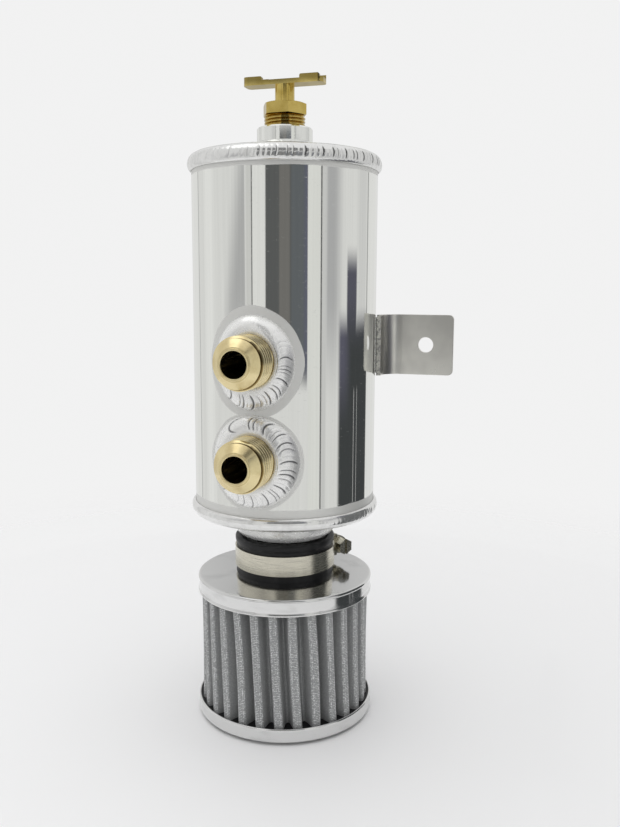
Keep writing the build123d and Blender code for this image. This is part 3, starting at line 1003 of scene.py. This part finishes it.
class Finishes:
    """The finishes of the can, with the dull zones placed from the frame."""

    dull_width = 3.1
    halo_drop = 1.0
    halo_sizes = {"upper": (20.6, 23.4), "lower": (20.8, 21.2)}
    # Painted shade on the wings, in millimetres below the top of the handle.
    painted_top_shade = (4.4, 1.2)

    def __init__(self) -> None:
        """Make each finish once."""
        top, bottom = Extent.of("drain_end_weld"), Extent.of("breather_end_weld")
        wide, up_lathe = self.dull_width, (0.05, 0.05, 3.5)
        edge = Extent.of("tap_handle").high.z
        self.tube = Polish(
            "tube_polish",
            bands=((top.low.z - wide, top.high.z), (bottom.low.z, bottom.high.z + wide)),
            halos=tuple(
                Halo(Extent.of(f"{name}_port_fitting").middle.z - self.halo_drop, *size)
                for name, size in self.halo_sizes.items()
            ),
        )
        self.polish = Polish("turned_polish", gloss=0.09)
        # Both weld finishes paint shade into the ripple valleys with their valley colour.
        self.weld = WeldMetal("bright_weld")
        self.rim = WeldMetal(
            "rim_weld", colour=(0.82, 0.82, 0.81), shade=(0.74, 0.74, 0.73),
            valley=(0.10, 0.10, 0.10), gloss=0.13, metal=0.85, mark=(0.18, 0.62),
        )
        self.sheet = SatinSheet("satin_sheet", front=Extent.of("mounting_bracket").low.y)
        # The brass finishes' valley colours darken the thread roots and grooves: partly oxide, partly
        # painted shade.
        self.fitting = TurnedBrass("flare_brass")
        self.tap = TurnedBrass(
            "dark_brass", Slot.TAP, colour=(0.64, 0.49, 0.15), shade=(0.51, 0.37, 0.09),
            valley=(0.52, 0.38, 0.11), gloss=0.10, mark=up_lathe,
        )
        # The wings' valley colour is painted shade, darker towards the top of the handle.
        self.wings = TurnedBrass(
            "wing_brass", Slot.TAP, colour=(0.70, 0.56, 0.20), shade=(0.55, 0.42, 0.13),
            valley=(0.20, 0.15, 0.04), gloss=0.12, mark=up_lathe,
            painted_top_shade=(edge - self.painted_top_shade[0], edge - self.painted_top_shade[1]),
        )
        self.chrome = Chrome("cap_plating")
        self.strip = StripSteel("clamp_strip")
        self.rubber = Rubber("moulded_rubber")
        self.gauze = Gauze("wire_gauze")


@dataclass
class Assembly:
    """A sub-assembly of the can, dressed in the shared finishes."""

    finishes: Finishes

    def build(self) -> None:
        """Build the pieces and dress them."""
        raise NotImplementedError


@dataclass
class Can(Assembly):
    """The welded can: tube, end plates, neck and drain bung, with their weld beads."""

    rim_over: float = 3.2
    rim_lip: float = 0.2
    top_drop: float = 1.3
    bottom_drop: float = 0.5
    neck_pitch: float = 2.6
    neck_reach: float = 2.6

    def build(self) -> None:
        """Lay the weld beads and dress the CAD nodes."""
        self.top_plate()
        self.rim("drain_end_weld", 1.0, self.top_drop, (190.0, 0.6))
        self.rim("breather_end_weld", -1.0, self.bottom_drop, (250.0, 0.9))
        self.bowl()
        self.collar()
        self.finishes.tube.coat("tank_tube")
        self.finishes.polish.coat(
            "breather_end_plate", "breather_neck", "drain_bung", "upper_port_bung", "lower_port_bung"
        )

    def top_plate(self) -> None:
        """Sink the upper face of the drain end's plate a little below the crown of its weld."""
        upper = Extent.of("drain_end_plate").high.z - 0.01
        plate = Workpiece.copy_of("drain_end_plate")
        plate.shape(lambda p: p - UP * self.top_drop if p.z > upper else p.copy())
        plate.release("drain_end_disc", self.finishes.polish, "drain_end_plate")

    def rim(self, weld: str, side: float, drop: float, calm: Pair) -> None:
        """Lay the bead over the edge of an end plate.

        Args:
            weld: CAD weld that the bead replaces.
            side: 1 at the upper end and -1 at the lower.
            drop: Distance that the bead lies below the CAD weld.
            calm: Direction where the bead is smoother, in degrees, and how much.
        """
        rim, tube = Extent.of(weld), Extent.of("tank_tube").radius
        foot, crown = (rim.low.z, rim.high.z) if side > 0 else (rim.high.z, rim.low.z)
        foot, crown = foot - drop, crown - drop
        swell = rim.radius + 1.05
        bead = Bead(
            toes=((tube + self.rim_lip, foot), (tube - self.rim_over, crown - 0.1 * side)),
            pulls=((swell, foot + 0.5 * side), (swell - 0.5, crown + 0.9 * side)),
            root=(tube - 1.2, (foot + crown) / 2),
            depth=0.48, seed=1.0 + side, span=(0.18, 0.74), calm=calm, points=19,
        )
        bead.lay().release_bead(weld, self.finishes.rim)

    def bowl(self) -> None:
        """Lay the flared bead between the neck and the lower plate."""
        box, neck = Extent.of("breather_neck_weld"), Extent.of("breather_neck").radius
        foot, tip, toe = box.high.z, box.low.z - self.neck_reach, box.radius
        bead = Bead(
            toes=((neck + 1.4, tip), (toe, foot + 0.05)),
            pulls=((neck + 3.6, tip + 1.0), (toe - 0.8, foot - 5.0)),
            root=(neck + 0.1, foot - 1.0),
            pitch=self.neck_pitch, depth=0.25, seed=2.0, calm=(289.0, 0.85),
        )
        bead.lay().release_bead("breather_neck_weld", self.finishes.weld)

    def collar(self) -> None:
        """Lay the fillet bead between the drain bung and the upper plate."""
        box, bung = Extent.of("drain_bung_weld"), Extent.of("drain_bung").radius
        foot, tip, toe = box.low.z - self.top_drop, box.high.z - self.top_drop, box.radius
        bead = Bead(
            toes=((bung - 0.05, tip), (toe, foot - 0.05)),
            pulls=((bung + 1.4, tip - 0.6), (toe - 0.9, foot + 2.2)),
            root=(bung - 0.4, foot - 0.4),
            pitch=self.neck_pitch, depth=0.32, seed=4.0, calm=(289.0, 0.6),
        )
        bead.lay().release_bead("drain_bung_weld", self.finishes.rim)


@dataclass
class Port(Assembly):
    """A flare port: the bead round its bung and the brass fitting in it."""

    name: str
    reach: Pair
    sag: float
    calm: Pair
    seed: float
    pitch: float = 2.2
    thread_depth: float = 0.95
    bore: float = 5.5
    lip: Triple = (6.9, 6.55, 6.45)
    cone_length: float = 3.3
    groove: float = 0.5

    def build(self) -> None:
        """Lay the bead and turn the fitting."""
        self.bead()
        self.fitting()

    def node(self, part: str) -> str:
        """Name one of the port's parts."""
        return f"{self.name}_port_{part}"

    @property
    def matrix(self) -> Matrix:
        """Turn Z to face along -Y at the port's height."""
        height = Extent.of(self.node("fitting")).middle.z
        return Matrix(((1, 0, 0, 0), (0, 0, -1, 0), (0, 1, 0, height), (0, 0, 0, 1)))

    def bead(self) -> None:
        """Lay the domed bead, draw it out to an oval and sink its toe onto the round tube."""
        tube = Extent.of("tank_tube").radius
        weld, bung = Extent.of(self.node("weld")), Extent.of(self.node("bung"))
        face, toe = -weld.low.y, (weld.high.z - weld.low.z) / 2
        inner = Extent.of(self.node("fitting")).radius + 0.1
        bead = Bead(
            toes=((inner, face + 0.1), (toe, tube - 0.12)),
            pulls=((inner + 2.9, face + 0.7), (toe - 0.5, tube + 3.6)),
            root=(bung.radius + 1.5, tube - 1.3),
            pitch=2.4, depth=0.44, bow=1.7, seed=self.seed, span=(0.12, 0.97), calm=self.calm,
            clump=(-25.0, 2.6), sharp=0.55, points=21, fineness=16,
        )

        def seat(place: Vector) -> Vector:
            """Stretch the bead towards its toe and follow the tube's curve.

            Args:
                place: Place on the round bead.

            Returns:
                The place on the oval one.
            """
            share = smooth((place.xy.length - inner) / (toe - inner))
            across = place.x * (1 + share * (self.reach[0] / toe - 1))
            up = place.y * (1 + share * (self.reach[1] / toe - 1)) - share * self.sag
            drop = tube - math.sqrt(tube**2 - across**2)
            buried = place.z <= tube - 1.0
            return Vector((across, up, place.z - drop * (1.0 if buried else share)))

        piece = bead.lay()
        piece.shape(seat)
        piece.place(self.matrix).release_bead(self.node("weld"), self.finishes.weld)

    def fitting(self) -> None:
        """Turn the fitting's body and sweep its thread."""
        box = Extent.of(self.node("fitting"))
        crest = box.radius
        back, nose, face = -box.high.y, -box.low.y, -Extent.of(self.node("bung")).low.y
        root = crest - self.thread_depth
        core, neck = root - 0.1, root - self.groove
        cone = nose - self.cone_length
        end = cone - 1.0
        outer, step, inner = self.lip
        body = Workpiece.turned(
            (
                Corner(self.bore, back), Corner(crest, back), Corner(crest, face),
                Corner(core, face), Corner(core, end), Corner(neck, end + 0.1, 0.2),
                Corner(neck, cone - 0.1, 0.2), Corner(crest - 0.85, cone, 0.2),
                Corner(outer, nose - 0.4, 0.1), Corner(step, nose - 0.45, 0.1),
                Corner(inner, nose, 0.2), Corner(self.bore, nose, 0.3),
            )
        )
        # The groove below the cone gets the dip attribute, which the brass darkens as painted shade.
        dip = body.layer("dip")
        for vert in body.mesh.verts:
            vert[dip] = 0.9 if end < vert.co.z < cone and vert.co.xy.length < root else 0.0
        thread = Thread(crest, root, root - 1.2, self.pitch, face - 0.4, end, 0.6, 96)
        body.join(thread.cut()).place(self.matrix)
        body.release(self.node("flare"), self.finishes.fitting, self.node("fitting"))


@dataclass
class Bracket(Assembly):
    """The folded bracket and the bead in the narrow gap behind its front edge."""

    edge: float = 0.4
    rows: int = 72
    ripple: float = 1.9

    def build(self) -> None:
        """Ease the sheet's edges and lay the bead."""
        sheet = Workpiece.copy_of("mounting_bracket").ease(self.edge, 3)
        sheet.release("bracket_sheet", self.finishes.sheet, "mounting_bracket")
        self.bead()

    def bead(self) -> None:
        """Draw the bead's level section, run it up the gap and press ripples in its face."""
        box, tube = Extent.of("bracket_weld"), Extent.of("tank_tube").radius
        front, back, leg = box.low.y, box.high.y, box.high.x
        foot, length = box.low.z, box.high.z - box.low.z
        near, far = (math.sqrt(tube**2 - y**2) for y in (front + 0.9, back))
        knots = (
            (near - 0.1, front + 0.9), (near + 0.3, front - 0.3),
            (leg - 0.4, front - 0.3), (leg - 0.02, front + 0.9),
        )
        face = interpolate_bezier(*(Vector((x, y, foot)) for x, y in knots), 9)
        piece = Workpiece()
        piece.line([*face, (leg - 0.02, back, foot), (far - 0.1, back, foot)], closed=True)
        piece.spin(self.rows, 0.0, length / self.rows)
        piece.cap()

        def press(place: Vector) -> Vector:
            """Set the face back in ripples and round both ends off.

            Args:
                place: Place on the plain bead.

            Returns:
                The place on the rippled one.
            """
            if place.y > front + 1.0:
                return place.copy()
            level = (place.z - foot) / length
            turn = math.pi * (length * level / self.ripple + 0.3 * place.x)
            wave = 1.0 - abs(math.sin(turn))
            end = 1.0 - smooth(8 * level) * smooth(8 * (1 - level))
            return Vector((place.x, place.y + 0.2 * wave + 0.6 * end, place.z))

        piece.shape(press)
        piece.release_bead("bracket_weld", self.finishes.weld, level=True)


@dataclass
class DrainTap(Assembly):
    """The brass drain tap: hexagon body with a pipe thread, stem and wing handle."""

    pitch: float = 1.411
    thread_depth: float = 0.95
    thread_proud: float = 0.45
    thread_sunk: float = 3.0
    taper: float = 1 / 32
    bore: float = 5.0
    hexagon_edge: float = 0.22
    wing_edge: float = 0.6

    def build(self) -> None:
        """Build the body and the handle, and dress the stem."""
        self.body()
        handle = Workpiece.copy_of("tap_handle").ease(self.wing_edge, 4)
        handle.release("tap_wings", self.finishes.wings, "tap_handle", body=Body.SPINDLE)
        self.finishes.tap.coat("tap_stem")
        self.finishes.rubber.coat("stem_seal")

    def body(self) -> None:
        """Keep the hexagon of the CAD body and sweep the thread below it."""
        hexagon = Workpiece.copy_of("tap_body")
        places = [vert.co.copy() for vert in hexagon.mesh.verts]
        foot = Extent.of("tap_body").low.z
        widest = max(p.xy.length for p in places)
        shoulder = min(p.z for p in places if p.xy.length > widest - 0.05)
        lowest = (p.xy.length for p in places if abs(p.z - foot) < 0.01)
        crest = min(radius for radius in lowest if radius > self.bore) + self.thread_proud
        hexagon.slice(shoulder, -UP)
        hexagon.cap()
        hexagon.ease(self.hexagon_edge)
        start = Extent.of("drain_bung").high.z - self.thread_sunk
        root = crest - self.thread_depth
        thread = Thread(crest, root, crest - 3.0, self.pitch, start, shoulder + 0.05, 0.5, 80).cut()
        thread.shape(lambda p: at_radius(p, p.xy.length - (shoulder - p.z) * self.taper))
        hexagon.join(thread).release("tap_hexagon", self.finishes.tap, "tap_body")


@dataclass
class BreatherFilter(Assembly):
    """The clamped breather filter: rubber neck, chromed caps, pleated ring and foot."""

    cap_rise: float = 1.2
    cap_steps: int = 160
    cap_crease: float = 50.0
    neck_short: float = 1.9
    pleats: int = 28
    rows: int = 10
    lean: float = -4.2
    fold_depth: float = 7.0
    fold_round: float = 1.15
    crest_share: float = 0.21
    valley_share: float = 0.10
    cloth: float = 0.7

    def build(self) -> None:
        """Turn the caps and the neck and fold the pleats."""
        self.top_cap()
        self.base_cap()
        self.neck()
        self.ring()
        self.finishes.rubber.coat("filter_base")

    def top_cap(self) -> None:
        """Turn the upper cap with a rolled shoulder and a rolled lower edge."""
        box = Extent.of("filter_top_cap")
        bore = Extent.of("clamp_band").radius - 0.7
        bottom, crown, rim = box.low.z, box.high.z, box.radius
        shoulder = crown - self.cap_rise
        section = (
            Corner(bore, crown, 0.2), Corner(rim - 2.6, shoulder + 0.15, 0.5),
            Corner(rim, shoulder, 0.9), Corner(rim, shoulder - 1.1, 0.45),
            Corner(rim - 0.45, shoulder - 1.45, 0.3), Corner(rim - 0.4, bottom + 1.25, 0.3),
            Corner(rim, bottom + 0.8, 0.3), Corner(rim, bottom, 0.35),
            Corner(rim - 1.1, bottom, 0.3), Corner(rim - 1.1, shoulder - 0.9),
            Corner(bore, crown - 0.8),
        )
        self.plated("filter_upper_shell", section, "filter_top_cap")

    def base_cap(self) -> None:
        """Turn the cap round the foot."""
        box = Extent.of("filter_base_cap")
        bottom, top, rim = box.low.z, box.high.z, box.radius
        section = (
            Corner(rim - 5.0, bottom), Corner(rim, bottom, 1.4), Corner(rim, top - 0.5, 0.25),
            Corner(rim - 0.35, top, 0.2), Corner(rim - 0.9, top, 0.15),
            Corner(rim - 0.9, bottom + 0.8), Corner(rim - 5.0, bottom + 0.8),
        )
        self.plated("filter_lower_shell", section, "filter_base_cap")

    def plated(self, name: str, section: Sequence[Corner], node: str) -> None:
        """Turn a chromed cap from its section, in place of a CAD node."""
        cap = Workpiece.turned(section, self.cap_steps)
        cap.release(name, self.finishes.chrome, node, crease=self.cap_crease)

    def neck(self) -> None:
        """Turn the rubber neck with a small lip, on its potted flange."""
        box, band = Extent.of("filter_neck"), Extent.of("clamp_band")
        outer, above = band.radius - 0.75, band.high.z
        bore, bottom = Extent.of("breather_neck").radius + 0.05, box.low.z
        top = box.high.z - self.neck_short
        under = Extent.of("filter_top_cap").high.z - 0.85
        neck = Workpiece.turned(
            (
                Corner(bore, bottom), Corner(box.radius, bottom),
                Corner(box.radius, under - self.cap_rise), Corner(outer, under),
                Corner(outer, above + 1.6, 0.5), Corner(outer + 0.6, above + 2.6, 0.5),
                Corner(outer + 0.6, top, 1.1), Corner(bore + 0.4, top, 0.4),
                Corner(bore, top - 0.5, 0.2),
            )
        )
        neck.release("filter_rubber", self.finishes.rubber, "filter_neck")

    def ring(self) -> None:
        """Fold one pleat, repeat it round the filter and draw the ring up."""
        box = Extent.of("filter_element")
        foot, middle, height = box.low.z, box.middle.z, box.high.z - box.low.z
        crest, valley = box.radius, box.radius - self.fold_depth
        pitch = math.tau / self.pleats
        fold = (
            (valley, -0.5), (valley, self.valley_share - 0.5), (crest, -self.crest_share),
            (crest, self.crest_share), (valley, 0.5 - self.valley_share), (valley, 0.5),
        )
        piece = Workpiece()
        verts = piece.line(
            [(r * math.cos(a * pitch), r * math.sin(a * pitch), foot) for r, a in fold]
        )
        for vert in verts[1:-1]:
            piece.soften(vert, self.fold_round)
        self.measure(piece)
        piece.spin(self.pleats, copies=True)
        piece.spin(self.rows, 0.0, height / self.rows)
        for face in piece.mesh.faces:
            if face.normal.xy.dot(face.calc_center_median().xy) < 0:
                face.normal_flip()

        def drape(place: Vector) -> Vector:
            """Lean the pleats and let them wander a little between the caps.

            Args:
                place: Place on the straight ring.

            Returns:
                The place on the draped one.
            """
            level = (place.z - middle) / height
            around = math.atan2(place.y, place.x)
            free = math.cos(math.pi * level)
            wander = 0.55 * math.sin(7 * around + 1.0) + 0.4 * math.sin(13 * around)
            sway = math.radians(self.lean * level + free * wander)
            pull = free * (0.16 * math.sin(11 * around + 2.0) - 0.18)
            return at_radius(Matrix.Rotation(sway, 3, "Z") @ place, place.xy.length + pull)

        piece.shape(drape)
        bmesh.ops.solidify(piece.mesh, geom=piece.mesh.faces[:], thickness=self.cloth)
        piece.release(
            "filter_pleats", self.finishes.gauze, "filter_element", crease=70.0, level=False
        )

    @staticmethod
    def measure(piece: Workpiece) -> None:
        """Note each point's distance along the cloth from the crest, in metres, for the weave.

        Args:
            piece: One pleat, drawn as a line.
        """
        along = piece.layer("along")
        order = [next(vert for vert in piece.mesh.verts if len(vert.link_edges) == 1)]
        step, lengths = None, [0.0]
        while len(order) < len(piece.mesh.verts):
            step = next(edge for edge in order[-1].link_edges if edge is not step)
            order.append(step.other_vert(order[-1]))
            lengths.append(lengths[-1] + (order[-1].co - order[-2].co).length)
        for vert, length in zip(order, lengths):
            vert[along] = abs(length - lengths[-1] / 2) * MM


@dataclass
class HoseClamp(Assembly):
    """The worm clamp on the filter's neck."""

    housing_edge: float = 0.18
    screw_edge: float = 0.22

    def build(self) -> None:
        """Ease the pressed housing and the worm, and dress the band."""
        strip = self.finishes.strip
        housing = Workpiece.copy_of("clamp_housing").ease(self.housing_edge)
        housing.release("clamp_shell", strip, "clamp_housing")
        screw = Workpiece.copy_of("clamp_screw").ease(self.screw_edge)
        screw.release("clamp_worm", strip, "clamp_screw", body=Body.SCREW)
        strip.coat("clamp_band")


@dataclass(frozen=True)
class Panel:
    """An upright strip of the surround that the metal mirrors, with soft sides and ends.

    The sides are angles in degrees to the right of the camera, seen from the can: where the strip
    starts to show, shows fully, starts to fade and has gone. The ends are heights in metres in the
    same order. The lean shifts the left side, in degrees for a metre above the middle of the can.
    """

    sides: Span
    tone: Colour
    ends: Span = (-0.2, -0.1, 0.8, 0.9)
    lean: float = 0.0


@dataclass
class Studio:
    """Floor, light and camera, and the panels that the polished metal mirrors."""

    eye: Triple = (0.1263, -0.3644, 0.1997)
    look: Triple = (-0.2957, 0.9435, -0.1497)
    roll: float = 0.24
    lens: float = 36.87
    floor_size: float = 1.6
    floor_fade: Pair = (0.16, 0.50)
    floor_colour: Colour = (0.85, 0.85, 0.855)
    background: float = 0.885
    ambient: float = 0.62
    lamp_power: float = 14.0
    lamp_place: Triple = (-0.25, -0.2, 1.4)
    lamp_size: float = 2.4
    ceiling_drop: float = 0.02
    glow_place: Pair = (-0.52, -0.29)
    glow_tone: Colour = (1.5, 1.5, 1.48)
    glow_fade: Pair = (0.22, 0.62)
    ceiling_tone: Colour = (0.87, 0.87, 0.87)
    tent_radius: float = 0.30
    tent_height: float = 0.52
    tent_middle: float = 0.2
    tent_tone: Colour = (0.72, 0.72, 0.715)
    dark_ends: Span = (0.122, 0.150, 0.312, 0.320)
    high_ends: Span = (0.345, 0.350, 0.8, 0.9)
    soft_foot: Span = (0.10, 0.20, 0.8, 0.9)
    panels: tuple[Panel, ...] = (
        Panel((-200.0, -190.0, -125.4, -123.9), (0.77, 0.77, 0.765)),
        Panel((-125.2, -124.3, -123.3, -122.4), (0.42, 0.42, 0.42)),
        Panel((-112.0, -103.0, -97.0, -86.0), (0.80, 0.80, 0.795)),
        Panel((-78.0, -56.0, -46.5, -45.2), (0.44, 0.44, 0.445), soft_foot, 167.0),
        Panel((-45.0, -43.5, -38.8, -38.0), (0.62, 0.62, 0.61)),
        Panel((-38.3, -37.7, -36.9, -36.3), (0.16, 0.16, 0.16)),
        Panel((-36.6, -36.0, -22.4, -21.3), (0.755, 0.755, 0.745)),
        Panel((26.0, 26.6, 40.0, 40.7), (0.735, 0.74, 0.72)),
        Panel((40.4, 40.9, 42.1, 42.6), (0.13, 0.13, 0.13)),
        Panel((42.3, 42.9, 46.0, 49.5), (0.60, 0.60, 0.60)),
        Panel((46.0, 50.0, 56.0, 74.0), (0.43, 0.43, 0.44), (0.10, 0.20, 0.300, 0.312)),
        Panel((90.0, 100.0, 110.0, 113.0), (0.64, 0.64, 0.64)),
        Panel((113.6, 114.8, 116.0, 117.4), (0.36, 0.36, 0.36)),
        Panel((116.4, 118.0, 190.0, 200.0), (0.77, 0.77, 0.765)),
        Panel((150.0, 179.0, 190.0, 200.0), (0.50, 0.50, 0.50)),
        Panel((-200.0, -190.0, -179.0, -150.0), (0.50, 0.50, 0.50)),
        Panel((-22.0, -20.7, 24.6, 25.7), (0.108, 0.111, 0.112), dark_ends),
        Panel((-7.0, -5.3, 4.5, 6.5), (0.170, 0.165, 0.158), dark_ends),
        Panel((6.0, 8.0, 24.6, 25.7), (0.122, 0.132, 0.142), dark_ends),
        Panel((19.0, 24.0, 24.6, 25.7), (0.12, 0.125, 0.165), dark_ends),
        Panel((-26.0, -21.0, 19.0, 24.0), (0.12, 0.12, 0.12), high_ends),
    )
    flag_place: Triple = (0.122, 0.025, 0.122)
    flag_half: float = 0.125
    flag_tone: Colour = (0.052, 0.056, 0.058)
    flag_edge: Colour = (0.105, 0.104, 0.140)
    flag_slim: tuple[Span, Span] = ((-7.0, -2.0, 26.0, 32.0), (-20.0, -10.0, 205.0, 222.0))
    flag_wide: tuple[Span, Span] = ((-31.0, -21.0, 92.0, 104.0), (-20.0, -10.0, 172.0, 190.0))
    flag_slits: Pair = (22.0, 34.5)
    slit_half: float = 1.8
    slit_top: Pair = (147.0, 142.0)

    def build(self) -> None:
        """Set up the stage."""
        self.camera()
        self.world()
        self.lamp()
        self.ceiling()
        self.floor()
        self.tent()
        self.flag()

    def camera(self) -> None:
        """Place the camera at the photograph's viewing angle."""
        scene = bpy.context.scene
        camera = bpy.data.cameras.new("camera")
        camera.lens = self.lens
        camera.sensor_width = 36.0
        camera.sensor_fit = "AUTO"
        camera.clip_start = 0.01
        view = bpy.data.objects.new("camera", camera)
        turn = Vector(self.look).to_track_quat("-Z", "Y").to_matrix().to_4x4()
        roll = Matrix.Rotation(math.radians(self.roll), 4, "Z")
        view.matrix_world = Matrix.Translation(self.eye) @ turn @ roll
        scene.collection.objects.link(view)
        scene.camera = view
        scene.view_settings.view_transform = "Standard"

    def world(self) -> None:
        """Give a pale background to what is seen and mirrored, and plain light to the rest."""
        world = bpy.data.worlds.new("studio")
        world.use_nodes = True
        bpy.context.scene.world = world
        world.cycles.sampling_method = "NONE"
        graph = Graph(world.node_tree)
        path = graph.node("ShaderNodeLightPath").outputs
        camera, glossy, through = (
            Field(graph, path[f"Is {ray} Ray"]) for ray in ("Camera", "Glossy", "Transmission")
        )
        seen = camera.most(glossy).most(through)
        strength = seen * (self.background - self.ambient) + self.ambient
        inputs = {"Color": (1.0, 1.0, 1.0, 1.0), "Strength": strength}
        shader = graph.node("ShaderNodeBackground", None, inputs)
        graph.node("ShaderNodeOutputWorld", None, {"Surface": shader.outputs[0]})

    def lamp(self) -> None:
        """Hang one wide soft lamp overhead."""
        light = bpy.data.lights.new("overhead", "AREA")
        light.shape = "DISK"
        light.size = self.lamp_size
        light.energy = self.lamp_power
        lamp = bpy.data.objects.new("overhead", light)
        lamp.location = self.lamp_place
        lamp.visible_glossy = False
        bpy.context.scene.collection.objects.link(lamp)

    def ceiling(self) -> None:
        """Hang a disc with a soft glow below the lamp, seen in reflections instead of it."""
        mesh = bmesh.new()
        bmesh.ops.create_circle(mesh, cap_ends=True, radius=self.lamp_size / 2, segments=64)
        below = Vector(self.lamp_place) - UP * self.ceiling_drop
        bmesh.ops.translate(mesh, vec=below, verts=mesh.verts)
        graph = self.stage("ceiling", mesh)
        x, y, _ = graph.place()
        across, along = x * MM - self.glow_place[0], y * MM - self.glow_place[1]
        reach = (across**2.0 + along**2.0) ** 0.5
        tone = graph.tint(reach.rise(*self.glow_fade), self.glow_tone, self.ceiling_tone)
        graph.close(graph.glow(tone))

    def floor(self) -> None:
        """Lay a pale floor that fades into the background."""
        mesh = bmesh.new()
        bmesh.ops.create_circle(mesh, cap_ends=True, radius=self.floor_size, segments=96)
        graph = self.stage("floor", mesh, mirrored_only=False)
        x, y, _ = graph.place()
        reach = (x**2.0 + y**2.0) ** 0.5 * MM
        shader = graph.principled(Base_Color=(*self.floor_colour, 1.0), Roughness=0.6)
        graph.close(graph.blend(reach.rise(*self.floor_fade), shader, graph.clear()))

    def tent(self) -> None:
        """Stand a ring of panels round the can, seen only in reflections."""
        mesh = bmesh.new()
        bmesh.ops.create_circle(mesh, radius=self.tent_radius, segments=96)
        rim = bmesh.ops.extrude_edge_only(mesh, edges=mesh.edges[:])["geom"]
        upper = [vert for vert in rim if isinstance(vert, BMVert)]
        bmesh.ops.translate(mesh, vec=(0, 0, self.tent_height), verts=upper)
        graph = self.stage("panels", mesh)
        x, y, z = graph.place()
        facing = Vector(self.eye).xy.normalized()
        ahead = x * facing.x + y * facing.y
        aside = y * facing.x - x * facing.y
        angle = graph.math("ARCTAN2", aside, ahead) * (180.0 / math.pi)
        height = z * MM
        lit: Tone = self.tent_tone
        for panel in self.panels:
            left, full, fade, right = panel.sides
            leaning = angle - (height - self.tent_middle) * panel.lean if panel.lean else angle
            across = leaning.rise(left, full) * angle.rise(right, fade)
            lit = graph.tint(across * height.within(panel.ends), lit, panel.tone)
        graph.close(graph.glow(lit))

    def flag(self) -> None:
        """Stand a dark flag with soft edges on the bracket's side, seen only in reflections."""
        mesh = bmesh.new()
        bmesh.ops.create_grid(mesh, x_segments=1, y_segments=1, size=self.flag_half)
        place = Matrix.Translation(self.flag_place) @ Matrix.Rotation(math.pi / 2, 4, "Y")
        bmesh.ops.transform(mesh, matrix=place, verts=mesh.verts)
        graph = self.stage("flag", mesh)
        _, y, z = graph.place()
        slim, wide = (
            y.within(sides) * z.within(ends) for sides, ends in (self.flag_slim, self.flag_wide)
        )
        half = self.slit_half
        first, second = (y.within((s - half, s, s, s + half)) for s in self.flag_slits)
        cover = slim.most(wide) * (1.0 - 0.6 * first.most(second) * z.rise(*self.slit_top))
        edge = (y.rise(14.0, -16.0) * z.rise(120.0, 165.0)).most(z.rise(160.0, 200.0) * 0.8)
        dark = graph.glow(graph.tint(edge, self.flag_tone, self.flag_edge))
        graph.close(graph.blend(cover, graph.clear(), dark))

    @staticmethod
    def stage(name: str, mesh: BMesh, mirrored_only: bool = True) -> Graph:
        """Put a piece of the stage in the scene.

        Args:
            name: Name of the object and of its material.
            mesh: Its mesh, in metres, which is used up.
            mirrored_only: True to leave it visible in reflections alone.

        Returns:
            The empty node tree of its material.
        """
        material, graph = new_material(name)
        data = bpy.data.meshes.new(name)
        mesh.to_mesh(data)
        mesh.free()
        data.materials.append(material)
        item = bpy.data.objects.new(name, data)
        bpy.context.scene.collection.objects.link(item)
        if mirrored_only:
            for ray in ("camera", "diffuse", "transmission", "volume_scatter", "shadow"):
                setattr(item, f"visible_{ray}", False)
        return graph


def main() -> None:
    """Build the can and stage it."""
    logging.basicConfig(level=logging.INFO, format="%(message)s")
    finishes = Finishes()
    assemblies = (
        Can(finishes),
        Port(finishes, "upper", reach=(17.4, 19.8), sag=1.0, calm=(125.0, 0.9), seed=0.6),
        Port(finishes, "lower", reach=(19.4, 20.0), sag=0.8, calm=(200.0, 0.35), seed=2.9),
        Bracket(finishes), DrainTap(finishes), BreatherFilter(finishes), HoseClamp(finishes),
    )
    for assembly in assemblies:
        log.info("building %s", type(assembly).__name__)
        assembly.build()
    Studio().build()


if __name__ == "__main__":
    main()
